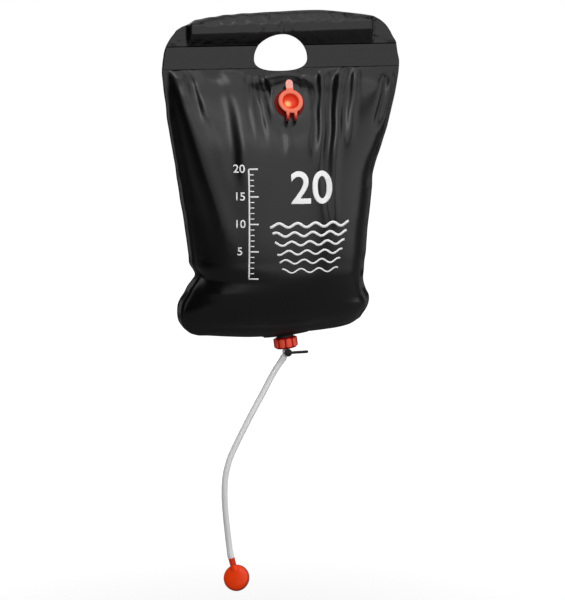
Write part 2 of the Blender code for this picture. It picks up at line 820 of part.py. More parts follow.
def filler_lid(place):
    """Plug lid with its pull tab, turning about the hinge line below the neck."""
    seat = NECK_HEIGHT + GAP
    axis = seat + TAB_THICKNESS / 2 + GAP
    pivot = frame("lid_hinge_line", (0, -HINGE_REACH, axis), None, place)
    body = turned(lid_outline(seat), FINE_STEPS)
    shift = Matrix.Translation((0, HINGE_REACH, -axis))
    bmesh.ops.transform(body, matrix=shift, verts=body.verts)
    lid = piece("filler_lid", body, MATERIALS["bright_red_plastic"], pivot)
    low, high = seat + GAP - axis, seat + GAP + TAB_THICKNESS - axis
    tab = plate(tab_outline(), low, high, Matrix.Translation((0, HINGE_REACH, 0)))
    combine(lid, helper("lid_tab", tab, pivot), "UNION")
    reach = HINGE_REACH - (LID_DIAMETER + CUP_DIAMETER) / 4
    side = [(GAP, low), (reach, low), (reach, high), (GAP, high)]
    for number, middle in enumerate((-LEG_SPACING / 2, LEG_SPACING / 2)):
        combine(lid, leg("lid_leg_" + str(number), side, middle, pivot), "UNION")
    return lid


def tab_outline():
    """A tab with a round end, from inside the lid's ring."""
    half, start = TAB_WIDTH / 2, (LID_DIAMETER + CUP_DIAMETER) / 4
    points = [(-half, start), (half, start)]
    for i in range(COARSE_STEPS // 2 + 1):
        turn = math.pi * 2 * i / COARSE_STEPS
        points.append((half * math.cos(turn), TAB_REACH - half + half * math.sin(turn)))
    return points


# Outlet, in its own frame: Z up along the spout's axis, zero at the bottom seam


def outlet_frame():
    turn = Matrix.Rotation(-OUTLET_TILT, 3, "Y")
    return frame("outlet_place", (OUTLET_SIDE, 0, chamber_top() - CHAMBER_HEIGHT), turn)


def outlet_spout(place):
    """Boat-shaped base between the sheets, with the neck that the nut screws on."""
    half, thick = BOAT_LENGTH / 2, BOAT_THICKNESS / 2
    steps = COARSE_STEPS
    outline = []
    for side in (-1, 1):
        for i in range(steps):
            x = side * half * math.cos(math.pi * i / steps)
            outline.append((x, -side * thick * math.sin(math.pi * i / steps) ** BOAT_POWER))
    base = plate(outline, 0, BOAT_HEIGHT)
    spout = piece("outlet_spout", base, MATERIALS["dark_plastic"], place)
    neck = rod(SPOUT_DIAMETER / 2, -SPOUT_LENGTH, BOAT_HEIGHT / 2, FINE_STEPS)
    combine(spout, helper("spout_neck", neck, place), "UNION")
    bore = rod(SPOUT_BORE / 2, -SPOUT_LENGTH - OVERRUN, BOAT_HEIGHT + OVERRUN, FINE_STEPS)
    combine(spout, helper("spout_bore", bore, place), "DIFFERENCE")
    return spout


def washer_top():
    return -(SPOUT_LENGTH + GAP)


def flange_top():
    """Height of the valve's inlet flange, under the washer."""
    return washer_top() - WASHER_THICKNESS - GAP


def lip_top():
    return flange_top() - INLET_FLANGE - GAP


def outlet_washer(place):
    low, high = washer_top() - WASHER_THICKNESS, washer_top()
    inner, outer = WASHER_BORE / 2, WASHER_DIAMETER / 2
    outline = [(inner, low), (outer, low), (outer, high), (inner, high)]
    return piece("outlet_washer", turned(outline, FINE_STEPS), MATERIALS["rubber"], place)


def coupling_nut(place):
    """Nut with broad convex grips and an inner lip that carries the valve's flange."""
    bore = SPOUT_DIAMETER / 2 + NUT_SIDE_GAP
    low, lip, inner = lip_top() - NUT_LIP, lip_top(), NUT_LIP_BORE / 2
    high = low + NUT_HEIGHT
    grip, groove = NUT_DIAMETER / 2, NUT_DIAMETER / 2 - GRIP_RISE
    edge = groove - NUT_CHAMFER
    return piece(
        "coupling_nut",
        lobed(
            [
                (inner, inner, low),
                (edge, edge, low),
                (groove - NUT_CHAMFER / 2, grip - NUT_CHAMFER, low + NUT_CHAMFER / 2),
                (groove, grip, low + 2 * NUT_CHAMFER),
                (groove, grip, high - 2 * NUT_CHAMFER),
                (groove - NUT_CHAMFER / 2, grip - NUT_CHAMFER, high - NUT_CHAMFER / 2),
                (edge, edge, high),
                (bore, bore, high),
                (bore, bore, lip),
                (inner, inner, lip),
            ]
        ),
        MATERIALS["red_plastic"],
        place,
    )


def lobed(outline):
    """A closed ring lofted through (groove radius, grip radius, height), one lobe to each grip."""
    steps = GRIP_COUNT * GRIP_STEPS
    shape = bmesh.new()
    rings = []
    for groove, grip, z in outline:
        ring = []
        for i in range(steps):
            turn = math.tau * i / steps
            lobe = abs(math.sin(GRIP_COUNT / 2 * turn)) ** GRIP_POWER
            radius = groove + (grip - groove) * lobe
            side, up = math.cos(turn + GRIP_START), math.sin(turn + GRIP_START)
            ring.append(shape.verts.new((radius * side, radius * up, z)))
        rings.append(ring)
    for lower, upper in zip(rings, rings[1:] + rings[:1]):
        for i in range(steps):
            j = (i + 1) % steps
            shape.faces.new((lower[i], lower[j], upper[j], upper[i]))
    return shape


def spigot_direction():
    return Vector((-math.sin(SPIGOT_ANGLE), 0, -math.cos(SPIGOT_ANGLE)))


def valve_body(place):
    """Inlet flange, cross hub for the key and angled spigot for the hose."""
    foot = -HUB_DROP
    stem = HUB_DIAMETER / 2 - 2 * GAP
    inlet = [
        (0, foot + GAP),
        (stem, foot + GAP),
        (stem, foot + HUB_DIAMETER / 2 - GAP),
        (INLET_DIAMETER / 2, foot + HUB_DIAMETER / 2 + 2 * GAP),
        (INLET_DIAMETER / 2, flange_top() - INLET_FLANGE),
        (WASHER_DIAMETER / 2, flange_top() - INLET_FLANGE),
        (WASHER_DIAMETER / 2, flange_top()),
        (0, flange_top()),
    ]
    body = piece("valve_body", turned(inlet, FINE_STEPS), MATERIALS["clear_plastic"], place)
    centre = Vector((0, 0, foot))
    half = HUB_LENGTH / 2
    hub = rod(HUB_DIAMETER / 2, -half, half, FINE_STEPS, (0, 1, 0), centre)
    combine(body, helper("valve_hub", hub, place), "UNION")
    combine(body, helper("valve_spigot", spigot(centre), place), "UNION")
    down = rod(PASSAGE / 2, foot + PASSAGE / 4, flange_top() + OVERRUN, COARSE_STEPS)
    combine(body, helper("inlet_passage", down, place), "DIFFERENCE")
    near, far = SPIGOT_BORE / 4, SPIGOT_LENGTH + OVERRUN
    out = rod(SPIGOT_BORE / 2, near, far, COARSE_STEPS, spigot_direction(), centre)
    combine(body, helper("spigot_passage", out, place), "DIFFERENCE")
    far = half + OVERRUN
    room = rod(KEY_DIAMETER / 2 + KEY_GAP, -far, far, FINE_STEPS, (0, 1, 0), centre)
    # The exact solver leaves open edges where the room's edges run through the passages' ones
    combine(body, helper("key_room", room, place), "DIFFERENCE", "MANIFOLD")
    return body


def spigot(centre):
    """Hose spigot with a shoulder and two low barbs, closed at the hub's axis."""
    stem, barb = HOSE_BORE / 2, HOSE_BORE / 2 + BARB_RISE
    shoulder = HUB_DIAMETER / 2 + RIM_WIDTH
    first = shoulder + (SPIGOT_LENGTH - shoulder) / 2
    outline = [
        (0, 0),
        (HOSE_DIAMETER / 2, 0),
        (HOSE_DIAMETER / 2, shoulder),
        (stem, shoulder),
        (barb, first - BARB_RISE),
        (barb, first),
        (stem, first + BARB_RISE),
        (barb, SPIGOT_LENGTH - RIM_WIDTH),
        (stem - BARB_RISE, SPIGOT_LENGTH),
        (0, SPIGOT_LENGTH),
    ]
    shape = turned(outline, COARSE_STEPS)
    turn = Vector((0, 0, 1)).rotation_difference(spigot_direction()).to_matrix().to_4x4()
    bmesh.ops.transform(shape, matrix=Matrix.Translation(centre) @ turn, verts=shape.verts)
    return shape


def valve_key(place):
    """Black plug with a cross hole, a head with the lever, and a snap end at the back."""
    axis = frame("key_axis", (0, 0, -HUB_DROP), None, place)
    half, radius = HUB_LENGTH / 2, KEY_DIAMETER / 2
    front, back = half + GAP, half + GAP
    outline = [
        (0, -front - KEY_HEAD),
        (KEY_HEAD_DIAMETER / 2 - GAP, -front - KEY_HEAD),
        (KEY_HEAD_DIAMETER / 2, -front - KEY_HEAD + GAP),
        (KEY_HEAD_DIAMETER / 2, -front),
        (radius, -front),
        (radius, back),
        (KEY_CLIP_DIAMETER / 2, back),
        (radius, back + KEY_CLIP),
        (0, back + KEY_CLIP),
    ]
    shape = turned(outline, FINE_STEPS)
    lie = Matrix.Rotation(-math.pi / 2, 4, "X")
    bmesh.ops.transform(shape, matrix=lie, verts=shape.verts)
    key = piece("valve_key", shape, MATERIALS["black_plastic"], axis)
    combine(key, helper("key_lever", lever(front), axis), "UNION")
    flow = (math.cos(LEVER_ANGLE), 0, math.sin(LEVER_ANGLE))
    hole = rod(PASSAGE / 2, -KEY_DIAMETER, KEY_DIAMETER, COARSE_STEPS, flow)
    combine(key, helper("key_hole", hole, axis), "DIFFERENCE")
    return key


def lever(front):
    """Flat straight lever with a round end, across the front of the key's head."""
    half, end = LEVER_HEIGHT / 2, LEVER_HEIGHT / 2 * LEVER_END_SHARE
    outline = [(0, half), (0, -half)]
    steps = COARSE_STEPS // 2
    for i in range(steps + 1):
        turn = -math.pi / 2 + math.pi * i / steps
        outline.append((LEVER_LENGTH - end + end * math.cos(turn), end * math.sin(turn)))
    stand = Matrix.Rotation(math.pi / 2, 4, "X")
    swing = Matrix.Rotation(-LEVER_ANGLE, 4, "Y")
    low = front + KEY_HEAD / 3
    return plate(outline, low, low + LEVER_THICKNESS, swing @ stand)


# Hose


def smooth_route(points, spacing):
    """Points along a smooth curve through the route, about evenly spaced."""
    route = [Vector(p) for p in points]
    ends = [route[0] * 2 - route[1]] + route + [route[-1] * 2 - route[-2]]
    fine = []
    for a, b, c, d in zip(ends, ends[1:], ends[2:], ends[3:]):
        for i in range(COARSE_STEPS):
            t = i / COARSE_STEPS
            bend = a * 2 - b * 5 + c * 4 - d
            twist = b * 3 - a - c * 3 + d
            fine.append((b * 2 + (c - a) * t + bend * t**2 + twist * t**3) / 2)
    fine.append(route[-1])
    even, walked = [fine[0]], 0.0
    for before, after in zip(fine, fine[1:]):
        walked += (after - before).length
        if walked >= spacing:
            even.append(after)
            walked = 0.0
    if (even[-1] - fine[-1]).length < spacing / 2:
        even.pop()
    return even + [fine[-1]]


def hose(start, end):
    curve = bpy.data.curves.new("hose", "CURVE")
    curve.dimensions = "3D"
    curve.bevel_depth = HOSE_DIAMETER / 2
    curve.bevel_resolution = HOSE_RESOLUTION
    curve.use_fill_caps = True
    points = smooth_route([start, *HOSE_ROUTE, end], HOSE_DIAMETER)
    line = curve.splines.new("POLY")
    line.points.add(len(points) - 1)
    for spot, place in zip(line.points, points):
        spot.co = (*place, 1)
    curve.materials.append(MATERIALS["clear_plastic"])
    tube = bpy.data.objects.new("hose", curve)
    bpy.context.scene.collection.objects.link(tube)
    return tube


# Shower head, in its own frame: Z out of the dome, Y towards the neck


def head_frame():
    facing = Vector(HEAD_FACING_SHARES).normalized()
    hose_end = Vector(HOSE_END) - Vector(HEAD_CENTRE)
    up = (hose_end - facing * hose_end.dot(facing)).normalized()
    side = up.cross(facing)
    return frame("head_place", HEAD_CENTRE, Matrix((side, up, facing)).transposed())


def neck_direction():
    """From the neck's foot in the dome to the end of the hose, in the head's frame."""
    facing = Vector(HEAD_FACING_SHARES).normalized()
    hose_end = Vector(HOSE_END) - Vector(HEAD_CENTRE)
    rise = hose_end.dot(facing)
    reach = (hose_end - facing * rise).length
    return Vector((0, reach - HEAD_NECK_FOOT, rise - HEAD_NECK_LIFT)).normalized()


def dome_outline(outer, base, height):
    """Rim and dome from the mouth up to the middle."""
    points = [(outer, base)]
    for i in range(DOME_STEPS + 1):
        turn = math.pi / 2 * i / DOME_STEPS
        reach = outer * math.cos(turn) ** DOME_POWER
        points.append((reach, base + HEAD_RIM + height * math.sin(turn)))
    points[-1] = (0, points[-1][1])
    return points


def head_body(place):
    """Domed cup with the neck that runs out of it to the hose barb."""
    outer, inner = HEAD_DIAMETER / 2, HEAD_DIAMETER / 2 - HEAD_WALL
    outside = dome_outline(outer, 0, HEAD_DOME)
    inside = dome_outline(inner, 0, HEAD_DOME - HEAD_WALL)
    direction, foot = neck_direction(), Vector((0, HEAD_NECK_FOOT, HEAD_NECK_LIFT))
    shell = turned([(0, 0)] + outside, FINE_STEPS)
    body = piece("head_body", shell, MATERIALS["orange_plastic"], place)
    shoulder = HEAD_NECK_REACH - HEAD_NECK_FOOT
    neck, stem, barb = HEAD_NECK_DIAMETER / 2, HOSE_BORE / 2, HOSE_BORE / 2 + BARB_RISE
    tip = shoulder + HEAD_BARB
    outline = [
        (0, 0),
        (neck, 0),
        (neck, shoulder),
        (stem, shoulder),
        (stem, tip - 3 * BARB_RISE),
        (barb, tip - 2 * BARB_RISE),
        (stem - BARB_RISE, tip),
        (0, tip),
    ]
    shape = turned(outline, COARSE_STEPS)
    turn = Vector((0, 0, 1)).rotation_difference(direction).to_matrix().to_4x4()
    bmesh.ops.transform(shape, matrix=Matrix.Translation(foot) @ turn, verts=shape.verts)
    combine(body, helper("head_neck", shape, place), "UNION")
    hollow = turned([(0, -OVERRUN), (inner, -OVERRUN)] + inside[1:], FINE_STEPS)
    combine(body, helper("head_hollow", hollow, place), "DIFFERENCE")
    water = rod(SPIGOT_BORE / 2, 0, tip + OVERRUN, COARSE_STEPS, direction, foot)
    combine(body, helper("head_water", water, place), "DIFFERENCE")
    return body


def spray_plate(place):
    """Perforated disc in the mouth of the head, dished outwards."""
    radius = HEAD_DIAMETER / 2 - HEAD_WALL - GAP
    low, high = GAP, GAP + PLATE_THICKNESS
    flat = radius * PLATE_FLAT_SHARE
    outline = [(0, low - PLATE_DISH), (flat, low), (radius, low), (radius, high), (0, high)]
    disc = piece("spray_plate", turned(outline, FINE_STEPS), MATERIALS["orange_plastic"], place)
    holes = bmesh.new()
    for ring, count in enumerate(SPRAY_RING_COUNTS, 1):
        for i in range(count):
            turn = math.tau * i / count
            spot = (ring * SPRAY_PITCH * math.cos(turn), ring * SPRAY_PITCH * math.sin(turn), 0)
            add_rod(holes, SPRAY_HOLE / 2, spot)
    combine(disc, helper("spray_holes", holes, place), "DIFFERENCE")
    return disc


def add_rod(shape, radius, spot):
    """Adds a small upright cylinder for one spray hole."""
    bmesh.ops.create_cone(
        shape,
        cap_ends=True,
        segments=SPRAY_HOLE_SIDES,
        radius1=radius,
        radius2=radius,
        depth=4 * OVERRUN,
        matrix=Matrix.Translation(spot),
    )


def main():
    cutter = hole_cutter("hand_hole", TUBE_DIAMETER + BAND_HEIGHT)
    back_panel(cutter)
    front = front_panel(cutter)
    sleeve_panel(cutter)
    weld_bands(cutter)
    handle_tube()
    filler_place = filler_frame()
    filler_neck(filler_place, front)
    lid_strap(filler_place)
    filler_lid(filler_place)
    outlet = outlet_frame()
    outlet_spout(outlet)
    outlet_washer(outlet)
    coupling_nut(outlet)
    valve_body(outlet)
    valve_key(outlet)
    head = head_frame()
    head_body(head)
    spray_plate(head)
    bpy.context.view_layer.update()
    tip = Vector((0, 0, -HUB_DROP)) + spigot_direction() * (SPIGOT_LENGTH + GAP)
    barb_tip = Vector((0, HEAD_NECK_FOOT, HEAD_NECK_LIFT))
    barb_tip += neck_direction() * (HEAD_NECK_REACH - HEAD_NECK_FOOT + HEAD_BARB + GAP)
    hose(outlet.matrix_world @ tip, head.matrix_world @ barb_tip)


clear_scene()
MATERIALS = {
    "black_sheet": finish("black_sheet", (0.016, 0.016, 0.018), 0.38),
    "grey_plastic": finish("grey_plastic", (0.25, 0.25, 0.26), 0.5),
    "red_plastic": finish("red_plastic", (0.66, 0.035, 0.018), 0.3),
    "bright_red_plastic": finish("bright_red_plastic", (0.80, 0.12, 0.05), 0.28),
    "orange_plastic": finish("orange_plastic", (0.86, 0.055, 0.008), 0.35),
    "dark_plastic": finish("dark_plastic", (0.03, 0.03, 0.03), 0.5),
    "black_plastic": finish("black_plastic", (0.012, 0.012, 0.012), 0.35),
    "clear_plastic": finish("clear_plastic", (0.75, 0.77, 0.78), 0.2, 0.5),
    "rubber": finish("rubber", (0.05, 0.05, 0.05), 0.7),
    "helper": finish("helper", (0.5, 0.5, 0.5), 0.5),
}
main()
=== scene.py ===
"""Looks of the camp shower bag, full of water and hanging by its hand hole. Metres, +Z up, front to -Y."""

import math

import bmesh
import bpy
import numpy as np
from mathutils import Matrix, Vector, noise
from mathutils.bvhtree import BVHTree


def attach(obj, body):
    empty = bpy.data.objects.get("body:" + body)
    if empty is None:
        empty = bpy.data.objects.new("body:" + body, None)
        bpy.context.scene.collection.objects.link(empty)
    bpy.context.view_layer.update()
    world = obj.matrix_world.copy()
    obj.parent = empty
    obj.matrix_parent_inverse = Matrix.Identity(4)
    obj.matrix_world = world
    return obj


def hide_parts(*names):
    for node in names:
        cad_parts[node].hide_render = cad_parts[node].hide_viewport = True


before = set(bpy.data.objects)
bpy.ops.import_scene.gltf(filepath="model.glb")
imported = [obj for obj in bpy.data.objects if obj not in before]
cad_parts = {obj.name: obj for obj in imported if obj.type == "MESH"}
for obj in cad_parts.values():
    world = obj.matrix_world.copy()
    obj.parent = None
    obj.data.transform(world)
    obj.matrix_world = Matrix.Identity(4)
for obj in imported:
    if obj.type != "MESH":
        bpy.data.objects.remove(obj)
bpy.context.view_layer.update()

# Camera: the photograph's angle, measured off the bag's two edges and its flat header
IMAGE_HEIGHT_PX = 600
PIXEL = 0.001651  # of the photograph, on the bag's middle plane
CAMERA_YAW = math.radians(12)
CAMERA_DROP = math.radians(6.4)
CAMERA_LENS = 200.0
CAMERA_SENSOR = 36.0
AIM_RIGHT_PX = 2.0  # from the top of the hand hole to the picture's middle
AIM_DOWN_PX = 266.0

# Studio: soft lamps as (name, place, point they face, size, brightness against a white card). The three
# in front lie one behind the other, so the light fades to the left.
LAMPS = (
    ("front_wall", (-0.25, -3.0, 0.95), (-0.25, 0, 0.95), (5.3, 3.9), 0.46),
    ("front_middle", (0.25, -2.98, 0.95), (0.25, 0, 0.95), (4.3, 3.9), 0.23),
    ("front_right", (0.75, -2.96, 0.95), (0.75, 0, 0.95), (3.3, 3.9), 0.40),
    ("right_wall", (3.0, -1.2, 0.9), (0, -1.2, 0.9), (2.8, 3.6), 1.05),
    ("sky", (0.3, -1.6, 2.6), (0.1, 0, -0.2), (4.2, 2.4), 1.25),
    ("key", (-0.9, -2.2, 1.9), (0, 0, -0.2), (1.0, 1.0), 2.4),
    ("top", (0.2, 0.6, 2.2), (0, 0, 0), (1.6, 1.2), 1.0),
)
WHITE = (1, 1, 1, 1)
BEHIND = (0.45, 0.90)  # how far back a reflection points where the white behind the bag starts and is full
STUDIO_GLOW = 0.02  # of the room in front, in reflections
STUDIO_LIGHT = 0.25  # of the room, on what it lights
FLOOR_HALF = 12.0
FLOOR_HEIGHT = -1.02
FLOOR_COLOUR = (0.22, 0.22, 0.22, 1)
FLOOR_ROUGHNESS = 0.9
FLOOR_GLOW = 0.76  # straight under the bag
FLOOR_FADE = (0.25, 1.4)  # from there out to where the glow starts to rise and is full

# The bag, as in its solids
SHEET = 0.0008
GAP = 0.0003
SEAM = 0.007
BAG_BULGE = 0.087  # of each side, off the middle plane
HOLE_WIDTH = 0.090
HOLE_HEIGHT = 0.0606
HOLE_WIDEST_SHARE = 0.66
HOLE_FOOT_POWER = 2.5
HOLE_WELD = 0.007
HOLE_FADE = 0.030
RECESS_PLACE = -0.009  # middle of the hollow under the hole
RECESS_HALF = 0.018
RECESS_SHARE = 0.6  # of the weld that it takes away
BAG_FOOT = -0.500
BAND_TOP = -0.019
BAND_FOOT = -0.056
BOAT_LENGTH = 0.072
BOAT_DEPTH = 0.0141  # half the thickness of the outlet's base
BOAT_HEIGHT = 0.011
TUBE_DIAMETER = 0.012
TUBE_WALL = 0.0016
TUBE_HALF = 0.151
TUBE_LIFT = 0.005
TUBE_ROUND = 0.0004
TUBE_STEPS = 40
SLEEVE_SLOPE = 0.007
HEADER_TILT_SHARE = 0.024  # how much the tube climbs to the right
BAND_TILT_SHARE = 0.010
TILT_END = -0.20  # below this the bag hangs straight
TILT_FADE = 0.02

# Outline of the bag as (height, left side, right side)
SIDES = (
    (0.017, -0.165, 0.169), (0.012, -0.1735, 0.176), (0.006, -0.1785, 0.182), (0.0, -0.1835, 0.186),
    (-0.008, -0.188, 0.1905), (-0.015, -0.1912, 0.1958), (-0.025, -0.1948, 0.1977),
    (-0.035, -0.1966, 0.1993), (-0.045, -0.198, 0.2015), (-0.0606, -0.199, 0.2013),
    (-0.075, -0.1975, 0.1995), (-0.095, -0.1955, 0.196), (-0.115, -0.1925, 0.1915),
    (-0.135, -0.1912, 0.1865), (-0.155, -0.1878, 0.1815), (-0.175, -0.1845, 0.175),
    (-0.195, -0.181, 0.1685), (-0.215, -0.1775, 0.1615), (-0.235, -0.175, 0.157), (-0.255, -0.1718, 0.156),
    (-0.275, -0.169, 0.154), (-0.295, -0.165, 0.152), (-0.315, -0.1622, 0.1495), (-0.345, -0.158, 0.147),
    (-0.365, -0.1555, 0.1455), (-0.378, -0.154, 0.1435), (-0.388, -0.148, 0.1425), (-0.396, -0.145, 0.142),
    (-0.405, -0.15, 0.1415), (-0.415, -0.158, 0.1425), (-0.425, -0.1635, 0.146), (-0.435, -0.1695, 0.1515),
    (-0.445, -0.1735, 0.1515), (-0.455, -0.175, 0.1475), (-0.465, -0.1745, 0.141),
    (-0.475, -0.1715, 0.1335), (-0.484, -0.1645, 0.1245),
)
LEFT_CORNER = -0.4840  # height where the side turns into the bottom edge
RIGHT_CORNER = -0.4720
HEADER_BASE = 0.004  # height where the rows under the top edge become level

# Top edge and bottom edge as (place across, height)
TOP_EDGE = (
    (-0.165, 0.017), (-0.154, 0.0212), (-0.145, 0.0268), (-0.134, 0.0286), (-0.122, 0.031),
    (-0.109, 0.0318), (-0.096, 0.0342), (-0.08, 0.0345), (-0.066, 0.036), (-0.05, 0.0358), (-0.03, 0.0368),
    (-0.006, 0.0372), (0.034, 0.0382), (0.07, 0.0376), (0.09, 0.0356), (0.11, 0.033), (0.128, 0.0306),
    (0.145, 0.028), (0.158, 0.025), (0.169, 0.019),
)
BOTTOM_EDGE = (
    (-0.1645, -0.484), (-0.156, -0.492), (-0.144, -0.497), (-0.124, -0.4985), (-0.09, -0.501),
    (-0.05, -0.5028), (0.007, -0.5), (0.035, -0.4965), (0.075, -0.4925), (0.1, -0.489), (0.118, -0.484),
    (0.1345, -0.474),
)

# Half the chamber's thickness, as a share of its bulge, by the share of its height below the weld band
BULGE_SHARES = (
    (0.0, 0.0), (0.055, 0.13), (0.1, 0.3), (0.145, 0.43), (0.19, 0.54), (0.32, 0.82), (0.41, 0.93),
    (0.55, 1.0), (0.72, 1.0), (0.8, 0.965), (0.84, 0.905), (0.88, 0.8), (0.92, 0.66), (0.96, 0.45),
    (0.985, 0.25), (1.0, 0.0),
)

# Creases: of the sleeve and the weld bands as (size, seed, depth), of the sleeve's pressed strip, and the
# ripple of the welded sides
SLEEVE_CREASES = ((0.026, 3.0, 0.0022), (0.011, 9.0, 0.0007))
BAND_CREASE = (0.030, 21.0, 0.0005)
CREASE_SHARES = (0.5, 1.6, 0.3)  # level, sharp creases below it, finer noise
CREASE_FINE = (2.1, 7)  # how much finer that noise is, and its shift
BAND_RIPPLE = (0.006, 0.0003)  # length, depth
SLEEVE_MIDDLE = 0.050  # half width of the soft part over the hand hole
SLEEVE_SWELL = 0.001
SLEEVE_TOP_POWER = 0.7
STRIP_SMOOTH_SHARE = 0.95
STRIP_FOOT = (0.010, 0.006)  # start below the tube, and fade
STRIP_HEAD = (0.002, 0.003)
SLEEVE_FADE = (0.008, 0.004)  # of the creases at the weld band and at the top edge
RIPPLE_REACH = 0.012
RIPPLE_LENGTHS = (0.0085, 0.031, 0.0047)  # of the wave, its sway and the fine wave on it
RIPPLE_SHARES = (3, 0.6, 1.3)  # of the sway, the fine wave, and its start
RIPPLE_DEPTH = 0.0003
RIPPLE_FOOT_DEPTH = 0.0011
RIPPLE_FOOT = (-0.36, 0.05)  # height where it deepens, and over what length
RIPPLE_TOP = (-0.06, 0.02)

# Filler
FILLER = (0.0078, -0.034415, -0.1130)
FILLER_TILT = math.radians(24)
EDGE_ROUND = 0.0005
FLANGE_RADIUS = 0.025
FLANGE_THICKNESS = 0.0016
FLANGE_EDGE = ((-0.0012, 0.0), (-0.0018, -0.0004))  # (out, up) from the flange's top edge
FLANGE_ROOT = ((0.0012, -0.0004), (0.0, 0.0008))  # from the neck, at the flange's face
NECK_BORE = 0.01525  # radius
NECK_WALL = 0.0019
NECK_HEIGHT = 0.0090
NECK_INNER = 0.0060
RIM_WIDTH = 0.0015
RIM_HEIGHT = 0.0018
RIM_TAPER_SHARE = 0.6
LID_RADIUS = 0.0205
LID_THICKNESS = 0.0022
CUP_RADIUS = 0.0149
CUP_WALL = 0.0015
CUP_DEPTH = 0.0075
CUP_FOOT = ((-0.0035, 0.0), (-0.0012, 0.0014), (-0.0005, 0.0030))  # (out, up) from the cup's foot
LID_UNDERSIDE = ((-0.0004, 0.0), (0.0, 0.0005))  # from the lid's edge, at its seat
LID_TOP = ((0.0, -0.0009), (-0.0006, -0.0001), (-0.0024, 0.0003))  # from the lid's edge, at its top
BOWL_LIP = ((0.0012, 0.0002), (0.0003, -0.0004))  # from the bowl, at the lid's top
BOWL_START = 0.0008  # below the lid's top
BOWL_POWERS = (0.7, 1.2)
TAB_WIDTH = 0.0120
TAB_REACH = 0.0375
TAB_THICKNESS = 0.0017
TAB_RISE = 0.0012
TAB_THIN_SHARE = 0.35
TAB_CORNER = 0.35
PIP_RADIUS = 0.0009
PIP_HALF = 0.0004
PIP_ROUND = 0.0003
PIP_PITCH = 0.0026
PIP_LIFT = 0.0009
PIP_ROWS = ((0.0285, 3, 0.0), (0.0312, 2, 0.0003), (0.0339, 1, 0.0006))  # reach, count, rise
HINGE_REACH = 0.0300
ROLL_WIDTH = 0.0021
ROLL_END = 0.0006
LEG_WIDTH = 0.0048
LEG_SPACING = 0.0130
LEG_FLARE = 0.0012
STRAP_THICKNESS = 0.0016
STRAP_WIDTH = 0.0032
STRAP_LIFT = 0.0005
STRAP_BEND = 0.0016
STRAP_START = 0.0006
STRAP_STEP = 0.0008
RISER_CLEARANCE = 0.0010
NECK_ROOM = 0.0195  # radius of the hole in the front sheet, under the flange

# Outlet
OUTLET = (0.007, 0.0, -0.5)
OUTLET_TILT = math.radians(7.5)
SPOUT_RADIUS = 0.014
SPOUT_LENGTH = 0.0157
THREAD_PITCH = 0.004
THREAD_TURNS = 2.6
THREAD_STEPS = 130
THREAD_SIDES = 8
THREAD_START = -0.0150
THREAD_SINK = 0.0001
THREAD_RADII = (0.00002, 0.0004)
THREAD_FADE_SHARE = 0.06
WASHER_THICKNESS = 0.0016
NUT_RADIUS = 0.020
NUT_HEIGHT = 0.0190
NUT_SIDE_GAP = 0.0004
NUT_LIP = 0.0022
NUT_LIP_BORE = 0.0088
NUT_CHAMFER = 0.0022
NUT_ROUND = 0.0008
GRIP_COUNT = 10
GRIP_RISE = 0.0016
GRIP_SINK = 0.0004
GRIP_WIDTH_SHARE = 0.90
GRIP_FOOT_SHARE = 0.8  # of the chamfer, below the grips
GRIP_HEAD_SHARE = 0.5
GRIP_END = 0.0032
GRIP_CORNER = 0.85
GRIP_START = math.radians(6)
INLET_FLANGE = 0.0020
HUB_DROP = 0.0297
HUB_LENGTH = 0.0176
KEY_RADIUS = 0.0043
KEY_HEAD_RADIUS = 0.0064
KEY_HEAD = 0.0030
KEY_HEAD_CHAMFER = 0.0004
KEY_CLIP = 0.0014
KEY_CLIP_RADIUS = 0.0052
LEVER_LENGTH = 0.0340
LEVER_HEIGHT = 0.0048
LEVER_THICKNESS = 0.0032
LEVER_ANGLE = math.radians(-5.5)
LEVER_STEPS = 24
LEVER_SINK = 0.002
LEVER_END = 0.0024
LEVER_ROOT_SHARE = 0.94
LEVER_TIP_SHARE = 0.15
LEVER_THIN_SHARE = 0.4
LEVER_CORNER = 0.6
SPIGOT_ANGLE = math.radians(39.5)
SPIGOT_SHOULDER = 0.0078

# Shower head
HEAD_CENTRE = (-0.0763, -0.008, -0.9075)
HEAD_FACING = (-0.4776, -0.8332, 0.2782)
HEAD_RADIUS = 0.022
HEAD_RIM = 0.0040
# (out, up) from the mouth
HEAD_BEAD = ((-0.0003, 0.0), (0.0002, 0.0006), (0.0002, 0.0018), (-0.0002, 0.0024))
HEAD_DOME = 0.0075
HEAD_WALL = 0.0016
DOME_SHARE = 0.8
NECK_RADIUS = 0.0053
NECK_REACH = 0.0345
NECK_FOOT = 0.0080
NECK_LIFT = 0.0046
NECK_BARB = 0.0060
NECK_FLARE = ((-0.0010, 0.0062), (0.0040, 0.0062), (0.0080, 0.0060), (0.0110, 0.0056))  # (reach, radius)
NECK_COLLAR = ((-0.0016, 0.0), (-0.0011, 0.0004), (-0.0003, 0.0004), (0.0, 0.0))  # from the neck's end
NECK_FLARE_END = 0.0140
BARB_TIP = ((-0.0009, 0.0), (-0.0006, 0.0003), (0.0, -0.0003))  # from the barb's end
PLATE_DISH = 0.0012
PLATE_FLAT = 0.0161  # radius where the dish starts
SPRAY_HOLE = 0.0007
SPRAY_PITCH = 0.0044
SPRAY_COUNTS = (6, 12, 18)
SPRAY_COLLAR = ((0.0, 0.0003), (0.0, -0.0004), (0.0003, -0.0005), (0.0006, 0.0003))  # from the hole

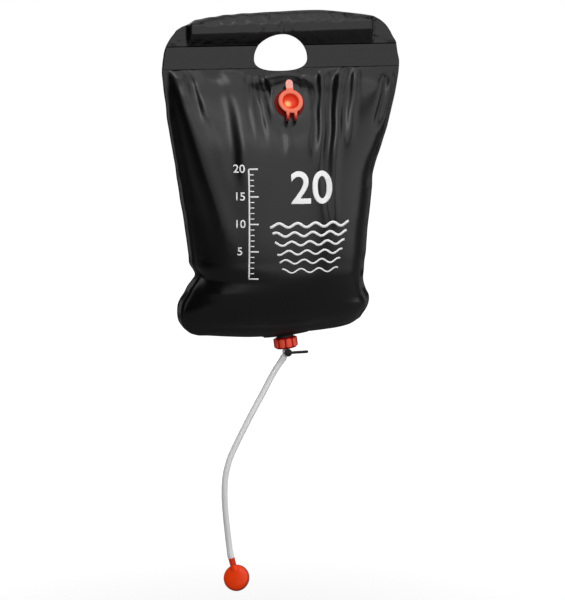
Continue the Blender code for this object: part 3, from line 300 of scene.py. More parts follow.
# Hose, with its route as in the solids
HOSE_DIAMETER = 0.0100
HOSE_BORE = 0.0066
HOSE_FLARE = 0.0006  # how far the barbs stretch it
HOSE_FLARE_END = (0.006, 0.008)  # from the hose's end, and over what length
HOSE_LIP = 0.0003
HOSE_LIP_LENGTH = 0.0006
HOSE_START = 0.007  # straight out of the stopcock
HOSE_STEP = 0.003
HOSE_ROUTE = (
    (-0.001, 0.0, -0.5475), (-0.0098, -0.001, -0.56), (-0.0206, -0.003, -0.578), (-0.0324, -0.006, -0.5985),
    (-0.0457, -0.009, -0.6205), (-0.0612, -0.012, -0.648), (-0.0764, -0.014, -0.6765),
    (-0.089, -0.015, -0.703), (-0.0964, -0.015, -0.731), (-0.0983, -0.014, -0.76),
    (-0.0968, -0.012, -0.789), (-0.0937, -0.01, -0.818), (-0.0902, -0.008, -0.846),
)
HOSE_END = (-0.0875, -0.008, -0.8660)

# Folds as (path down the sheet, half width at its top, at its foot, ridge, tuck). A ridge stands out along
# the path. A tuck sinks on the left of it and stands out on the right, so the slope between faces left.
FOLD_START = 0.014  # from the weld band down to where the folds have their full height
FOLD_START_POWER = 0.6
FOLD_FOOT = 0.015  # above the bottom edge, where they end
FOLD_HEAD_SHARE = 0.15  # of a fold's length, over which one that starts on the sheet rises
FOLD_FADE_SHARE = 0.40
FOLD_STEP = 0.004
FLANK = (
    (-0.19, -0.062), (-0.184, -0.088), (-0.177, -0.124), (-0.17, -0.153), (-0.163, -0.186),
    (-0.157, -0.212), (-0.149, -0.241), (-0.14, -0.27), (-0.132, -0.3), (-0.125, -0.333), (-0.121, -0.359),
    (-0.121, -0.386), (-0.128, -0.421),
)
LEFT_PLEAT = (
    (-0.101, -0.056), (-0.093, -0.097), (-0.088, -0.128), (-0.086, -0.155), (-0.084, -0.184),
    (-0.084, -0.216), (-0.079, -0.249), (-0.073, -0.279),
)
CENTRE_PLEAT = (
    (0.065, -0.056), (0.061, -0.1), (0.056, -0.123), (0.053, -0.155), (0.048, -0.187), (0.044, -0.219),
)
RIGHT_PLEAT = (
    (0.098, -0.056), (0.087, -0.096), (0.081, -0.124), (0.078, -0.156), (0.072, -0.188), (0.069, -0.22),
    (0.068, -0.253), (0.071, -0.294), (0.077, -0.336),
)
OUTER_PLEAT = ((0.123, -0.056), (0.114, -0.102), (0.107, -0.128), (0.103, -0.157), (0.097, -0.189))
RIGHT_SEAM = (
    (0.188, -0.064), (0.182, -0.093), (0.178, -0.11), (0.172, -0.129), (0.164, -0.148), (0.159, -0.168),
)
WAIST_LEFT = ((-0.158, -0.388), (-0.141, -0.403), (-0.126, -0.423), (-0.106, -0.445))
WAIST_RIGHT = ((0.15, -0.421), (0.134, -0.429), (0.104, -0.438))
FRONT_FOLDS = (
    (FLANK, 0.014, 0.018, 0.0, 0.0065),
    (
        ((-0.155, -0.056), (-0.147, -0.076), (-0.143, -0.096), (-0.138, -0.12), (-0.134, -0.152)),
        0.005, 0.006, 0.0, 0.0016,
    ),
    (
        ((-0.137, -0.056), (-0.129, -0.089), (-0.126, -0.112), (-0.12, -0.144), (-0.114, -0.176)),
        0.007, 0.01, 0.001, 0.0,
    ),
    (LEFT_PLEAT, 0.015, 0.0075, 0.0, 0.0024),
    (
        ((-0.052, -0.056), (-0.057, -0.097), (-0.059, -0.121), (-0.056, -0.153), (-0.053, -0.181)),
        0.004, 0.004, 0.0, 0.001,
    ),
    (
        ((-0.042, -0.056), (-0.043, -0.098), (-0.039, -0.121), (-0.036, -0.153), (-0.032, -0.188)),
        0.005, 0.006, 0.0, 0.0014,
    ),
    (((-0.031, -0.06), (-0.023, -0.093), (-0.019, -0.119), (-0.018, -0.144)), 0.005, 0.005, 0.0, 0.0018),
    (((-0.006, -0.147), (-0.005, -0.169), (-0.005, -0.205)), 0.006, 0.006, 0.0, 0.0012),
    (((0.039, -0.06), (0.034, -0.099), (0.028, -0.126)), 0.004, 0.004, 0.0, 0.001),
    (CENTRE_PLEAT, 0.006, 0.0065, 0.0, 0.0028),
    (((0.08, -0.056), (0.072, -0.124), (0.064, -0.187)), 0.0035, 0.0035, 0.0008, 0.0),
    (RIGHT_PLEAT, 0.008, 0.006, 0.0, 0.0042), (OUTER_PLEAT, 0.006, 0.0065, 0.0, 0.003),
    (RIGHT_SEAM, 0.006, 0.006, 0.0, 0.005), (WAIST_LEFT, 0.012, 0.012, 0.0, 0.0016),
    (WAIST_RIGHT, 0.012, 0.012, 0.0, -0.001),
)
BACK_FOLDS = (
    (((-0.16, -0.058), (-0.15, -0.11), (-0.134, -0.17), (-0.118, -0.23)), 0.009, 0.012, 0.0, 0.004),
    (((-0.118, -0.058), (-0.112, -0.12), (-0.102, -0.19)), 0.008, 0.01, 0.002, 0.0),
    (((-0.066, -0.058), (-0.06, -0.11), (-0.05, -0.175)), 0.008, 0.009, 0.0, 0.0024),
    (((0.048, -0.06), (0.046, -0.12), (0.04, -0.19)), 0.006, 0.008, 0.0016, 0.0),
    (((0.092, -0.058), (0.088, -0.13), (0.08, -0.225)), 0.0085, 0.01, 0.0, -0.003),
    (((0.14, -0.058), (0.132, -0.11), (0.12, -0.18)), 0.008, 0.01, 0.0025, 0.0),
    (WAIST_LEFT, 0.007, 0.007, -0.0075, 0.0), (WAIST_RIGHT, 0.006, 0.006, -0.0045, 0.0),
)

# Print, in its own plane: across and up from its middle
PRINT_MIDDLE = (0.002, -0.3075)
PRINT_STEP = 0.004
PRINT_LIFT = 0.00015
PRINT_WALL_SHARE = 0.7
SCALE_PLACE = -0.071
SCALE_HALF = 0.090
SCALE_LITRES = 20
SCALE_LONG = 5  # litres between long marks
MARK_REACHES = (0.0080, 0.0150)  # short and long
MARK_WIDTHS = (0.0016, 0.0024)
FIGURE_HEIGHT = 0.0130
FIGURE_OFFSET = 0.0150
LARGE_FIGURE = 0.0520
LARGE_PLACE = (0.0330, 0.0560)
FIGURE_SHARE = 0.70  # of the letter's size that a figure is high
FIGURE_WEIGHT = 0.018
WAVE_SPAN = (-0.038, 0.100)
WAVE_ROWS = 6
WAVE_INSET = 0.004  # from row to row
WAVE_STEP = 0.0025
WAVE_TOP = -0.0020
WAVE_PITCH = 0.0150
WAVE_HEIGHT = 0.0034
WAVE_LENGTH = 0.031
WAVE_WIDTH = 0.0044
WAVE_THINNING = 0.0004

# Steps of the meshes
BOWL_STEPS = 16
TAB_STEPS = 16
DOME_STEPS = 16
HALF_COLUMNS = 96
COLUMN_POWER = 1.35
SKEW_LIMIT = 1.0  # sideways over down, past which a sheet's quad is cut in two
TOP_ROWS = 16
HOLE_ROWS = 34
CHAMBER_ROWS = 180
ROW_POWER = 0.92
PATH_STEPS = 24
ROUND_STEPS = 96
NUT_STEPS = 90
KEY_STEPS = 48
NECK_STEPS = 40
SMALL_STEPS = 12
HOSE_SIDES = 32
STRIP_SIDES = 20
STRIP_CORNER = 0.45
LEAST_WIDTH_SHARE = 0.12
LEAST_HEIGHT_SHARE = 0.4  # of a bar's height, at its very ends
ROUND_SHARE = 0.45  # of an outline's edge, the most that one rounded corner takes
SHARP_ANGLE = math.radians(40)
FITTING_SHARP_ANGLE = math.radians(50)
MERGE = 1e-6
TINY = 1e-7

# Finishes: sheet and mouldings
SKIN_DEPTH = 0.0002
SEAM_DULL = (0.470, 0.487, 0.62)  # below the hand hole, start and end of the rough seam, and its roughness
GROOVE_SHADE_RED = (0.30, 0.002, 0.002)
# Nut: painted shade down in the grooves, and a painted highlight on the grips' outer faces
GRIP_HIGHLIGHT_RED = (1.0, 0.10, 0.05)
GRIP_HIGHLIGHT_DEPTHS = (0.0005, 0.0001)  # inside the nut's radius, where the painted highlight starts and is full
GROOVE_START_SHARE = 0.55  # of the grips' rise

# Zones of the head and the lid, as (start, end, colour) along a mask
# Head: painted shade darkens the rim and the neck's end; the first neck zone brings the orange back along
# the neck
HEAD_RIM_SHADE_ZONE = (0.0192, 0.0219, (0.55, 0.035, 0.012))
HEAD_NECK_SHADE_ZONES = ((0.0215, 0.0235, (0.90, 0.055, 0.012)), (0.0290, 0.0350, (0.52, 0.045, 0.030)))
# Lid: painted shade in the bowl
BOWL_SHADE_ZONE = (0.0142, 0.0126, (0.80, 0.040, 0.006))
# Lid: a painted highlight patch low on the bowl's left side
BOWL_HIGHLIGHT_PLACE = (-0.0036, -0.0022, 0)
BOWL_HIGHLIGHT_ZONE = (0.0085, 0.0010, (1.0, 0.52, 0.20))
LID_END_ZONES = ((0.0215, 0.0245, (0.95, 0.42, 0.36)), (-0.0195, -0.0285, (0.38, 0.012, 0.008)))


def smooth_step(value):
    value = np.clip(value, 0.0, 1.0)
    return value * value * (3 - 2 * value)


def read_curve(table, at, column=1):
    """A table's column at any place, on a smooth curve through its points."""
    xs = np.array([row[0] for row in table])
    ys = np.array([row[column] for row in table])
    if xs[0] > xs[-1]:
        xs, ys = xs[::-1], ys[::-1]
    slopes = np.gradient(ys, xs)
    at = np.clip(at, xs[0], xs[-1])
    k = np.clip(np.searchsorted(xs, at) - 1, 0, len(xs) - 2)
    span = xs[k + 1] - xs[k]
    u = (at - xs[k]) / span
    return (
        ys[k] * (1 + 2 * u) * (1 - u) ** 2
        + slopes[k] * span * u * (1 - u) ** 2
        + ys[k + 1] * u * u * (3 - 2 * u)
        + slopes[k + 1] * span * u * u * (u - 1)
    )


def linked(name, data):
    """A new object in the scene."""
    obj = bpy.data.objects.new(name, data)
    bpy.context.scene.collection.objects.link(obj)
    return obj


# Nodes


def feed(node, sockets):
    """Gives each input of a node its value, or links it to another node's output."""
    for socket, value in sockets.items():
        if isinstance(value, bpy.types.NodeSocket):
            node.id_data.links.new(value, node.inputs[socket])
        else:
            node.inputs[socket].default_value = value


def add_node(tree, kind, sockets=(), **settings):
    """A node with its settings made and its inputs fed."""
    node = tree.nodes.new(kind)
    for name, value in settings.items():
        setattr(node, name, value)
    feed(node, dict(sockets))
    return node


def sum_of(tree, operation, *terms):
    """Output of a sum on numbers."""
    return add_node(tree, "ShaderNodeMath", enumerate(terms), operation=operation).outputs[0]


def vector_sum(tree, operation, *terms):
    """Outputs of a sum on vectors."""
    return add_node(tree, "ShaderNodeVectorMath", enumerate(terms), operation=operation).outputs


def new_material(name):
    material = bpy.data.materials.new(name)
    material.use_nodes = True
    return material, material.node_tree, material.node_tree.nodes["Principled BSDF"]


# Camera, floor and light


def view_axes():
    """The camera's line of sight, right and up."""
    level = math.cos(CAMERA_DROP)
    sight = Vector((math.sin(CAMERA_YAW) * level, math.cos(CAMERA_YAW) * level, -math.sin(CAMERA_DROP)))
    right = sight.cross(Vector((0, 0, 1))).normalized()
    return sight, right, right.cross(sight)


def camera():
    sight, right, up = view_axes()
    distance = IMAGE_HEIGHT_PX * PIXEL * CAMERA_LENS / CAMERA_SENSOR
    data = bpy.data.cameras.new("photo_view")
    data.lens = CAMERA_LENS
    data.sensor_width = CAMERA_SENSOR
    data.clip_end = 3 * distance
    eye = linked("photo_view", data)
    aim = right * AIM_RIGHT_PX * PIXEL - up * AIM_DOWN_PX * PIXEL
    turn = Matrix((right, up, -sight)).transposed()
    eye.matrix_world = Matrix.Translation(aim - sight * distance) @ turn.to_4x4()
    bpy.context.scene.camera = eye
    bpy.context.scene.view_settings.view_transform = "Standard"


def softbox(name, place, aim, size, brightness):
    """A rectangular soft light that faces a point, as bright as a white card where brightness is 1."""
    data = bpy.data.lights.new(name, "AREA")
    data.shape = "RECTANGLE"
    data.size, data.size_y = size
    data.energy = brightness * math.pi * size[0] * size[1]
    lamp = linked(name, data)
    lamp.visible_camera = False
    lamp.location = place
    lamp.rotation_mode = "QUATERNION"
    lamp.rotation_quaternion = (Vector(aim) - Vector(place)).to_track_quat("-Z", "Y")


def surroundings():
    """White to the camera and behind the bag, a dim studio in front of it."""
    world = bpy.data.worlds.new("studio")
    bpy.context.scene.world = world
    world.use_nodes = True
    tree = world.node_tree
    tree.nodes.clear()
    rays = add_node(tree, "ShaderNodeLightPath").outputs
    place = add_node(tree, "ShaderNodeTexCoord").outputs["Generated"]
    back = add_node(tree, "ShaderNodeSeparateXYZ", {0: place}).outputs["Y"]
    steps = {"From Min": BEHIND[0], "From Max": BEHIND[1], "To Min": STUDIO_GLOW, "To Max": 1.0}
    behind = add_node(tree, "ShaderNodeMapRange", {"Value": back, **steps}).outputs[0]
    glossy = sum_of(tree, "MULTIPLY", behind, rays["Is Glossy Ray"])
    seen = sum_of(tree, "MAXIMUM", rays["Is Camera Ray"], rays["Is Transmission Ray"])
    white = sum_of(tree, "MAXIMUM", seen, glossy)
    diffuse = sum_of(tree, "MULTIPLY", rays["Is Diffuse Ray"], STUDIO_LIGHT)
    strength = sum_of(tree, "MAXIMUM", white, diffuse)
    light = add_node(tree, "ShaderNodeBackground", {"Color": WHITE, "Strength": strength})
    add_node(tree, "ShaderNodeOutputWorld", {"Surface": light.outputs[0]})


def floor():
    """A pale floor under the head, white further off, where the camera looks past the bag."""
    mesh = bpy.data.meshes.new("floor")
    square = ((-1, -1), (1, -1), (1, 1), (-1, 1))
    corners = [(x * FLOOR_HALF, y * FLOOR_HALF, FLOOR_HEIGHT) for x, y in square]
    mesh.from_pydata(corners, [], [(0, 1, 2, 3)])
    obj = linked("floor", mesh)
    material, tree, shader = new_material("pale_floor")
    place = add_node(tree, "ShaderNodeTexCoord").outputs["Object"]
    away = vector_sum(tree, "DISTANCE", place, (0, 0, FLOOR_HEIGHT))["Value"]
    steps = {"From Min": FLOOR_FADE[0], "From Max": FLOOR_FADE[1], "To Min": FLOOR_GLOW, "To Max": 1.0}
    fade = add_node(tree, "ShaderNodeMapRange", {"Value": away, **steps}).outputs[0]
    rays = add_node(tree, "ShaderNodeLightPath").outputs
    glow = sum_of(tree, "MULTIPLY", rays["Is Camera Ray"], fade)
    feed(shader, {"Base Color": FLOOR_COLOUR, "Roughness": FLOOR_ROUGHNESS})
    feed(shader, {"Emission Color": WHITE, "Emission Strength": glow})
    mesh.materials.append(material)


# Shared shader effects


def effect(name, inputs, outputs):
    """A shader group that is still empty: its tree, what it is given, and its end node."""
    group = bpy.data.node_groups.new(name, "ShaderNodeTree")
    for label, value in inputs.items():
        kind = "NodeSocketVector" if value is None else "NodeSocketFloat"
        socket = group.interface.new_socket(label, in_out="INPUT", socket_type=kind)
        if value is not None:
            socket.default_value = value
    for label in outputs:
        group.interface.new_socket(label, in_out="OUTPUT", socket_type="NodeSocketFloat")
    given = add_node(group, "NodeGroupInput").outputs
    return group, given, add_node(group, "NodeGroupOutput")


def grain_effect():
    """Fine skin of a pressed or moulded plastic: a height, a value for uneven gloss, and a broad mask."""
    sizes = {"Vector": None, "Fine Scale": 900.0, "Broad Scale": 45.0, "Gloss": 0.35, "Gloss Spread": 0.08}
    group, given, end = effect("plastic_grain", sizes, ("Height", "Roughness", "Mask"))
    noises = []
    for scale, detail in (("Fine Scale", 2.0), ("Broad Scale", 4.0)):
        sockets = {"Vector": given["Vector"], "Scale": given[scale], "Detail": detail}
        noises.append(add_node(group, "ShaderNodeTexNoise", sockets).outputs["Fac"])
    centred = sum_of(group, "SUBTRACT", noises[1], 0.5)
    spread = sum_of(group, "MULTIPLY_ADD", centred, given["Gloss Spread"], given["Gloss"])
    feed(end, {"Height": noises[0], "Roughness": spread, "Mask": noises[1]})
    return group


def zone_effect():
    """Masks of a turned piece: distance from its axis, and place along one direction across it."""
    vectors = dict.fromkeys(("Vector", "Centre", "Axis", "Across"))
    group, given, end = effect("turned_zones", vectors, ("Radius", "Along"))
    away = vector_sum(group, "SUBTRACT", given["Vector"], given["Centre"])[0]
    side = vector_sum(group, "CROSS_PRODUCT", away, given["Axis"])[0]
    radius = vector_sum(group, "LENGTH", side)["Value"]
    along = vector_sum(group, "DOT_PRODUCT", away, given["Across"])["Value"]
    feed(end, {"Radius": radius, "Along": along})
    return group


# Finishes


def plastic(
    name, colour, other, gloss, bump=0.10, fine=1200.0, broad=60.0, spread=0.06, transmission=0.0, shine=0.5
):
    """A procedural plastic: two close colours over a broad noise, uneven gloss and a fine skin."""
    material, tree, shader = new_material(name)
    place = add_node(tree, "ShaderNodeTexCoord").outputs["Object"]
    given = {"Vector": place, "Fine Scale": fine, "Broad Scale": broad}
    given |= {"Gloss": gloss, "Gloss Spread": spread}
    grain = add_node(tree, "ShaderNodeGroup", node_tree=GRAIN)
    feed(grain, given)
    colours = {"A": (*colour, 1), "B": (*other, 1), "Factor": grain.outputs["Mask"]}
    mix = add_node(tree, "ShaderNodeMix", colours, data_type="RGBA")
    skin = {"Strength": bump, "Distance": SKIN_DEPTH, "Height": grain.outputs["Height"]}
    relief = add_node(tree, "ShaderNodeBump", skin)
    feed(shader, {"Base Color": mix.outputs["Result"], "Roughness": grain.outputs["Roughness"]})
    feed(shader, {"Normal": relief.outputs["Normal"], "Transmission Weight": transmission})
    feed(shader, {"Specular IOR Level": shine})
    return material


def zones(material, centre, axis, across):
    """The two masks' outputs in a material."""
    tree = material.node_tree
    masks = add_node(tree, "ShaderNodeGroup", node_tree=ZONES)
    place = tree.nodes["Texture Coordinate"].outputs["Object"]
    feed(masks, {"Vector": place, "Centre": centre, "Axis": axis, "Across": across})
    return masks.outputs["Radius"], masks.outputs["Along"]


def eased(material, mask, near, far, top=1.0):
    """A soft step in a material where a mask goes from one value to another."""
    steps = {"From Min": near, "From Max": far, "To Max": top, "Value": mask}
    ease = add_node(material.node_tree, "ShaderNodeMapRange", steps, interpolation_type="SMOOTHSTEP")
    return ease.outputs["Result"]


def tint(material, mask, near, far, colour):
    """Lays a colour over a material where a mask goes from one value to another."""
    tree = material.node_tree
    shader = tree.nodes["Principled BSDF"]
    under = shader.inputs["Base Color"].links[0].from_socket
    colours = {"Factor": eased(material, mask, near, far), "A": under, "B": (*colour, 1)}
    mix = add_node(tree, "ShaderNodeMix", colours, data_type="RGBA")
    feed(shader, {"Base Color": mix.outputs["Result"]})


def dull(material, mask, near, far, gloss):
    """Makes a material rougher where a mask goes from one value to another."""
    shader = material.node_tree.nodes["Principled BSDF"]
    under = shader.inputs["Roughness"].links[0].from_socket
    rougher = sum_of(material.node_tree, "MAXIMUM", under, eased(material, mask, near, far, gloss))
    feed(shader, {"Roughness": rougher})


def black_sheet():
    """Satin black PVC: a fine pressed grain and uneven gloss, rough along the bottom seam."""
    dark, light = (0.0018, 0.0018, 0.0024), (0.0028, 0.0027, 0.0034)
    material = plastic("black_pvc", dark, light, 0.26, bump=0.12, fine=700.0, broad=30.0)
    below = zones(material, (0, 0, 0), (0, 1, 0), (0, 0, -1))[1]
    dull(material, below, *SEAM_DULL)
    return material


def frame_axes(place):
    """Where a fitting's own frame lies, and its three directions."""
    turn = place.to_3x3()
    return place.translation, turn @ Vector((1, 0, 0)), turn @ Vector((0, 1, 0)), turn @ Vector((0, 0, 1))


def nut_material():
    """Red moulding, with painted shade in the grooves and a painted highlight on the grips' outer faces."""
    material = plastic("nut_moulding", (0.66, 0.006, 0.003), (0.72, 0.009, 0.005), 0.24, shine=0.25)
    centre, _, back, out = frame_axes(outlet_place())
    radius = zones(material, centre, out, -back)[0]
    start, end = (NUT_RADIUS - depth for depth in GRIP_HIGHLIGHT_DEPTHS)
    # Painted highlight on the grips' outer faces, then painted shade down in the grooves
    tint(material, radius, start, end, GRIP_HIGHLIGHT_RED)
    tint(material, radius, NUT_RADIUS - GRIP_RISE * GROOVE_START_SHARE, NUT_RADIUS - GRIP_RISE, GROOVE_SHADE_RED)
    return material


def head_material():
    """Orange moulding, with painted shade at its rim and at the end of the neck."""
    material = plastic("orange_moulding", (0.98, 0.050, 0.002), (1.0, 0.062, 0.004), 0.24, shine=0.25)
    centre, _, up, out = frame_axes(head_place())
    radius, along = zones(material, centre, out, up)
    # Painted shade at the rim and at the end of the neck
    tint(material, radius, *HEAD_RIM_SHADE_ZONE)
    for zone in HEAD_NECK_SHADE_ZONES:
        tint(material, along, *zone)
    return material


def lid_material():
    """Soft red vinyl: pale as a painted sheen on its ring, paler towards the tab and deep red towards the
    hinge, with painted shade and a painted highlight patch in the bowl."""
    # The pale pinkish base colour is a painted sheen on the ring
    material = plastic("bright_red_moulding", (0.93, 0.21, 0.13), (0.88, 0.17, 0.10), 0.30, shine=0.25)
    place = filler_place()
    centre, _, up, out = frame_axes(place)
    radius, along = zones(material, centre, out, up)
    # Painted shade in the bowl
    tint(material, radius, *BOWL_SHADE_ZONE)
    # Painted highlight patch in the bowl
    near = zones(material, place @ Vector(BOWL_HIGHLIGHT_PLACE), out, up)[0]
    tint(material, near, *BOWL_HIGHLIGHT_ZONE)
    for zone in LID_END_ZONES:
        tint(material, along, *zone)
    return material


def finish_cad(node, material):
    """Gives a carried-over solid its finish."""
    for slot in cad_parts[node].material_slots:
        slot.material = material


# Meshes


def new_piece(name, mesh, material, body):
    obj = linked(name, mesh)
    mesh.materials.clear()
    mesh.materials.append(material)
    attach(obj, body)
    return obj


def mesh_of(name, shape):
    """A mesh in place of a bmesh."""
    mesh = bpy.data.meshes.new(name)
    shape.to_mesh(mesh)
    shape.free()
    return mesh


def shape_of(mesh):
    """A bmesh in place of a mesh."""
    shape = bmesh.new()
    shape.from_mesh(mesh)
    bpy.data.meshes.remove(mesh)
    return shape


def mesh_from(name, shape, sharp=SHARP_ANGLE):
    """A finished mesh from a bmesh: doubles merged, normals outwards, shaded smooth."""
    bmesh.ops.remove_doubles(shape, verts=shape.verts, dist=MERGE)
    bmesh.ops.recalc_face_normals(shape, faces=shape.faces)
    mesh = mesh_of(name, shape)
    mesh.shade_smooth()
    mesh.set_sharp_from_angle(angle=sharp)
    return mesh


def moved(shape, place):
    bmesh.ops.transform(shape, matrix=place, verts=shape.verts)
    return shape


def joined(shapes):
    """One bmesh out of several."""
    whole = bmesh.new()
    for shape in shapes:
        mesh = mesh_of("part", shape)
        whole.from_mesh(mesh)
        bpy.data.meshes.remove(mesh)
    return whole


def steps_to(end, count):
    """Even steps from zero to a value."""
    return [end * i / count for i in range(count + 1)]


def corner_points(radius, height, offsets):
    """Points of an outline, set off from one of its corners."""
    return [(radius + out, height + up) for out, up in offsets]


def rounded(outline, radius, steps=4):
    """A closed outline with each corner turned into a short arc."""
    points = []
    count = len(outline)
    for i, corner in enumerate(outline):
        before, after = Vector(outline[i - 1]), Vector(outline[(i + 1) % count])
        here = Vector(corner)
        back, ahead = before - here, after - here
        cut = min(radius, back.length * ROUND_SHARE, ahead.length * ROUND_SHARE)
        if here.x < TINY or cut < TINY:
            points.append(tuple(here))
            continue
        start, end = here + back.normalized() * cut, here + ahead.normalized() * cut
        for k in range(steps + 1):
            u = k / steps
            spot = start * (1 - u) ** 2 + here * 2 * u * (1 - u) + end * u * u
            points.append((max(spot.x, 0.0), spot.y))
    return points


def turned(outline, steps=ROUND_STEPS):
    """A closed (radius, height) outline spun round Z."""
    shape = bmesh.new()
    rings = []
    for radius, height in outline:
        if radius < TINY:
            rings.append([shape.verts.new((0, 0, height))])
            continue
        angles = [math.tau * i / steps for i in range(steps)]
        rings.append([shape.verts.new((radius * math.cos(a), radius * math.sin(a), height)) for a in angles])
    for lower, upper in zip(rings, rings[1:] + rings[:1]):
        if len(lower) == 1 and len(upper) == 1:
            continue
        for i in range(steps):
            j = (i + 1) % steps
            ring = [lower[i % len(lower)], lower[j % len(lower)]]
            ring += [upper[j % len(upper)], upper[i % len(upper)]]
            shape.faces.new(list(dict.fromkeys(ring)))
    return shape


def way_along(points, i):
    """Direction of a path at one of its points."""
    return (points[min(i + 1, len(points) - 1)] - points[max(i - 1, 0)]).normalized()


def skin_over(shape, rings):
    """Faces between rings of points that close on themselves."""
    for lower, upper in zip(rings, rings[1:]):
        for k in range(len(lower)):
            m = (k + 1) % len(lower)
            shape.faces.new((lower[k], lower[m], upper[m], upper[k]))


def capped(shape, rings):
    shape.faces.new(rings[0][::-1])
    shape.faces.new(rings[-1])
    return shape


def strip(points, across, widths, heights, corner=STRIP_CORNER):
    """A closed bar along a path. Its section goes from square to round as corner goes from 0 to 1."""
    shape = bmesh.new()
    across = Vector(across)
    points = [Vector(p) for p in points]
    rings = []
    for i, spot in enumerate(points):
        out = way_along(points, i).cross(across).normalized()
        ring = []
        for k in range(STRIP_SIDES):
            turn = math.tau * (k + 0.5) / STRIP_SIDES
            side, up = math.cos(turn), math.sin(turn)
            wide = math.copysign(abs(side) ** corner, side) * widths[i] / 2
            tall = math.copysign(abs(up) ** corner, up) * heights[i] / 2
            ring.append(shape.verts.new(spot + across * wide + out * tall))
        rings.append(ring)
    skin_over(shape, rings)
    return capped(shape, rings)


def bar(start, end, across, width, height, ease, corner=STRIP_CORNER, steps=10):
    """A straight strip whose two ends round off over a length."""
    start, end = Vector(start), Vector(end)
    length = (end - start).length
    points, widths = [], []
    for turn in steps_to(math.pi / 2, steps):
        near = ease * (1 - math.cos(turn))
        points.append(start + (end - start) * (near / length))
        widths.append(max(math.sin(math.acos(max(0.0, 1 - near / ease))), LEAST_WIDTH_SHARE))
    points += [start + end - p for p in reversed(points)]
    widths += widths[::-1]
    heights = [(LEAST_HEIGHT_SHARE + (1 - LEAST_HEIGHT_SHARE) * w) * height for w in widths]
    return strip(points, across, [w * width for w in widths], heights, corner)


def repeat_tree():
    """Geometry nodes that set copies of a shape along a step and round Z."""
    tree = bpy.data.node_groups.new("repeat_round", "GeometryNodeTree")
    kinds = {"Item": "Geometry", "Count": "Int", "Turn": "Float", "Start": "Float", "Step": "Vector"}
    kinds["Finish"] = "Material"
    for label, kind in kinds.items():
        tree.interface.new_socket(label, in_out="INPUT", socket_type="NodeSocket" + kind)
    tree.interface.new_socket("Copies", in_out="OUTPUT", socket_type="NodeSocketGeometry")
    given = add_node(tree, "NodeGroupInput").outputs
    line = add_node(tree, "GeometryNodeMeshLine", {"Count": given["Count"], "Offset": given["Step"]})
    index = add_node(tree, "GeometryNodeInputIndex").outputs[0]
    angle = sum_of(tree, "MULTIPLY_ADD", index, given["Turn"], given["Start"])
    turn = add_node(tree, "ShaderNodeCombineXYZ", {"Z": angle}).outputs[0]
    places = {"Points": line.outputs["Mesh"], "Instance": given["Item"], "Rotation": turn}
    copies = add_node(tree, "GeometryNodeInstanceOnPoints", places).outputs[0]
    real = add_node(tree, "GeometryNodeRealizeInstances", {0: copies}).outputs[0]
    finish = add_node(tree, "GeometryNodeSetMaterial", {"Geometry": real, "Material": given["Finish"]})
    add_node(tree, "NodeGroupOutput", {0: finish.outputs[0]})
    return tree


def repeated(item, material, count, turn=0.0, start=0.0, step=(0.0, 0.0, 0.0)):
    """Copies of a bmesh shape, made by the geometry nodes, as one bmesh."""
    host = linked("repeat_host", mesh_from("repeat_item", item))
    maker = host.modifiers.new("repeat", "NODES")
    maker.node_group = REPEAT
    values = {"Count": count, "Turn": turn, "Start": start, "Step": step, "Finish": material}
    for socket in REPEAT.interface.items_tree:
        if socket.in_out == "INPUT" and socket.name in values:
            maker[socket.identifier] = values[socket.name]
    made = host.evaluated_get(bpy.context.evaluated_depsgraph_get())
    mesh = bpy.data.meshes.new_from_object(made)
    host.modifiers.remove(maker)
    bpy.data.objects.remove(host)
    return shape_of(mesh)


def fitting(name, shapes, place, material, body, slot, *nodes):
    """A rigid piece out of closed shapes in a fitting's own frame, in place of its solids."""
    mesh = mesh_from(name, moved(joined(shapes), place), FITTING_SHARP_ANGLE)
    obj = new_piece(name, mesh, material, body)
    if nodes:
        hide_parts(*nodes)
    return obj


def route(points, spacing):
    """Points along a smooth curve through a route, about evenly spaced."""
    marks = [Vector(p) for p in points]
    ends = [marks[0] * 2 - marks[1]] + marks + [marks[-1] * 2 - marks[-2]]
    fine = []
    for a, b, c, d in zip(ends, ends[1:], ends[2:], ends[3:]):
        for i in range(PATH_STEPS):
            t = i / PATH_STEPS
            bend = a * 2 - b * 5 + c * 4 - d
            twist = b * 3 - a - c * 3 + d
            fine.append((b * 2 + (c - a) * t + bend * t**2 + twist * t**3) / 2)
    fine.append(marks[-1])
    even, walked = [fine[0]], 0.0
    for before, after in zip(fine, fine[1:]):
        walked += (after - before).length
        if walked >= spacing:
            even.append(after)
            walked = 0.0
    if (even[-1] - fine[-1]).length < spacing / 2:
        even.pop()
    return even + [fine[-1]]


def swept(shape, points, radii, sides):
    """Rings along a path, joined into an open skin, without turning about the path."""
    rings = []
    normal = way_along(points, 0).orthogonal().normalized()
    for i, spot in enumerate(points):
        along = way_along(points, i)
        normal = (normal - along * normal.dot(along)).normalized()
        across = along.cross(normal)
        ring = []
        for k in range(sides):
            turn = math.tau * k / sides
            out = normal * math.cos(turn) + across * math.sin(turn)
            ring.append(shape.verts.new(spot + out * radii[i]))
        rings.append(ring)
    skin_over(shape, rings)
    return rings


# Hose


def outlet_place():
    return Matrix.Translation(OUTLET) @ Matrix.Rotation(-OUTLET_TILT, 4, "Y")


def spigot_direction():
    local = Vector((-math.sin(SPIGOT_ANGLE), 0, -math.cos(SPIGOT_ANGLE)))
    return (outlet_place().to_3x3() @ local).normalized()


def head_place():
    """The shower head's own frame: Z out of the dome, Y towards the neck."""
    facing = Vector(HEAD_FACING).normalized()
    reach = Vector(HOSE_END) - Vector(HEAD_CENTRE)
    up = (reach - facing * reach.dot(facing)).normalized()
    turn = Matrix((up.cross(facing), up, facing)).transposed()
    return Matrix.Translation(HEAD_CENTRE) @ turn.to_4x4()


def neck_line():
    """Foot of the head's neck and the way from it to the hose, in the head's frame."""
    foot = Vector((0, NECK_FOOT, NECK_LIFT))
    return foot, (head_place().inverted() @ Vector(HOSE_END) - foot).normalized()


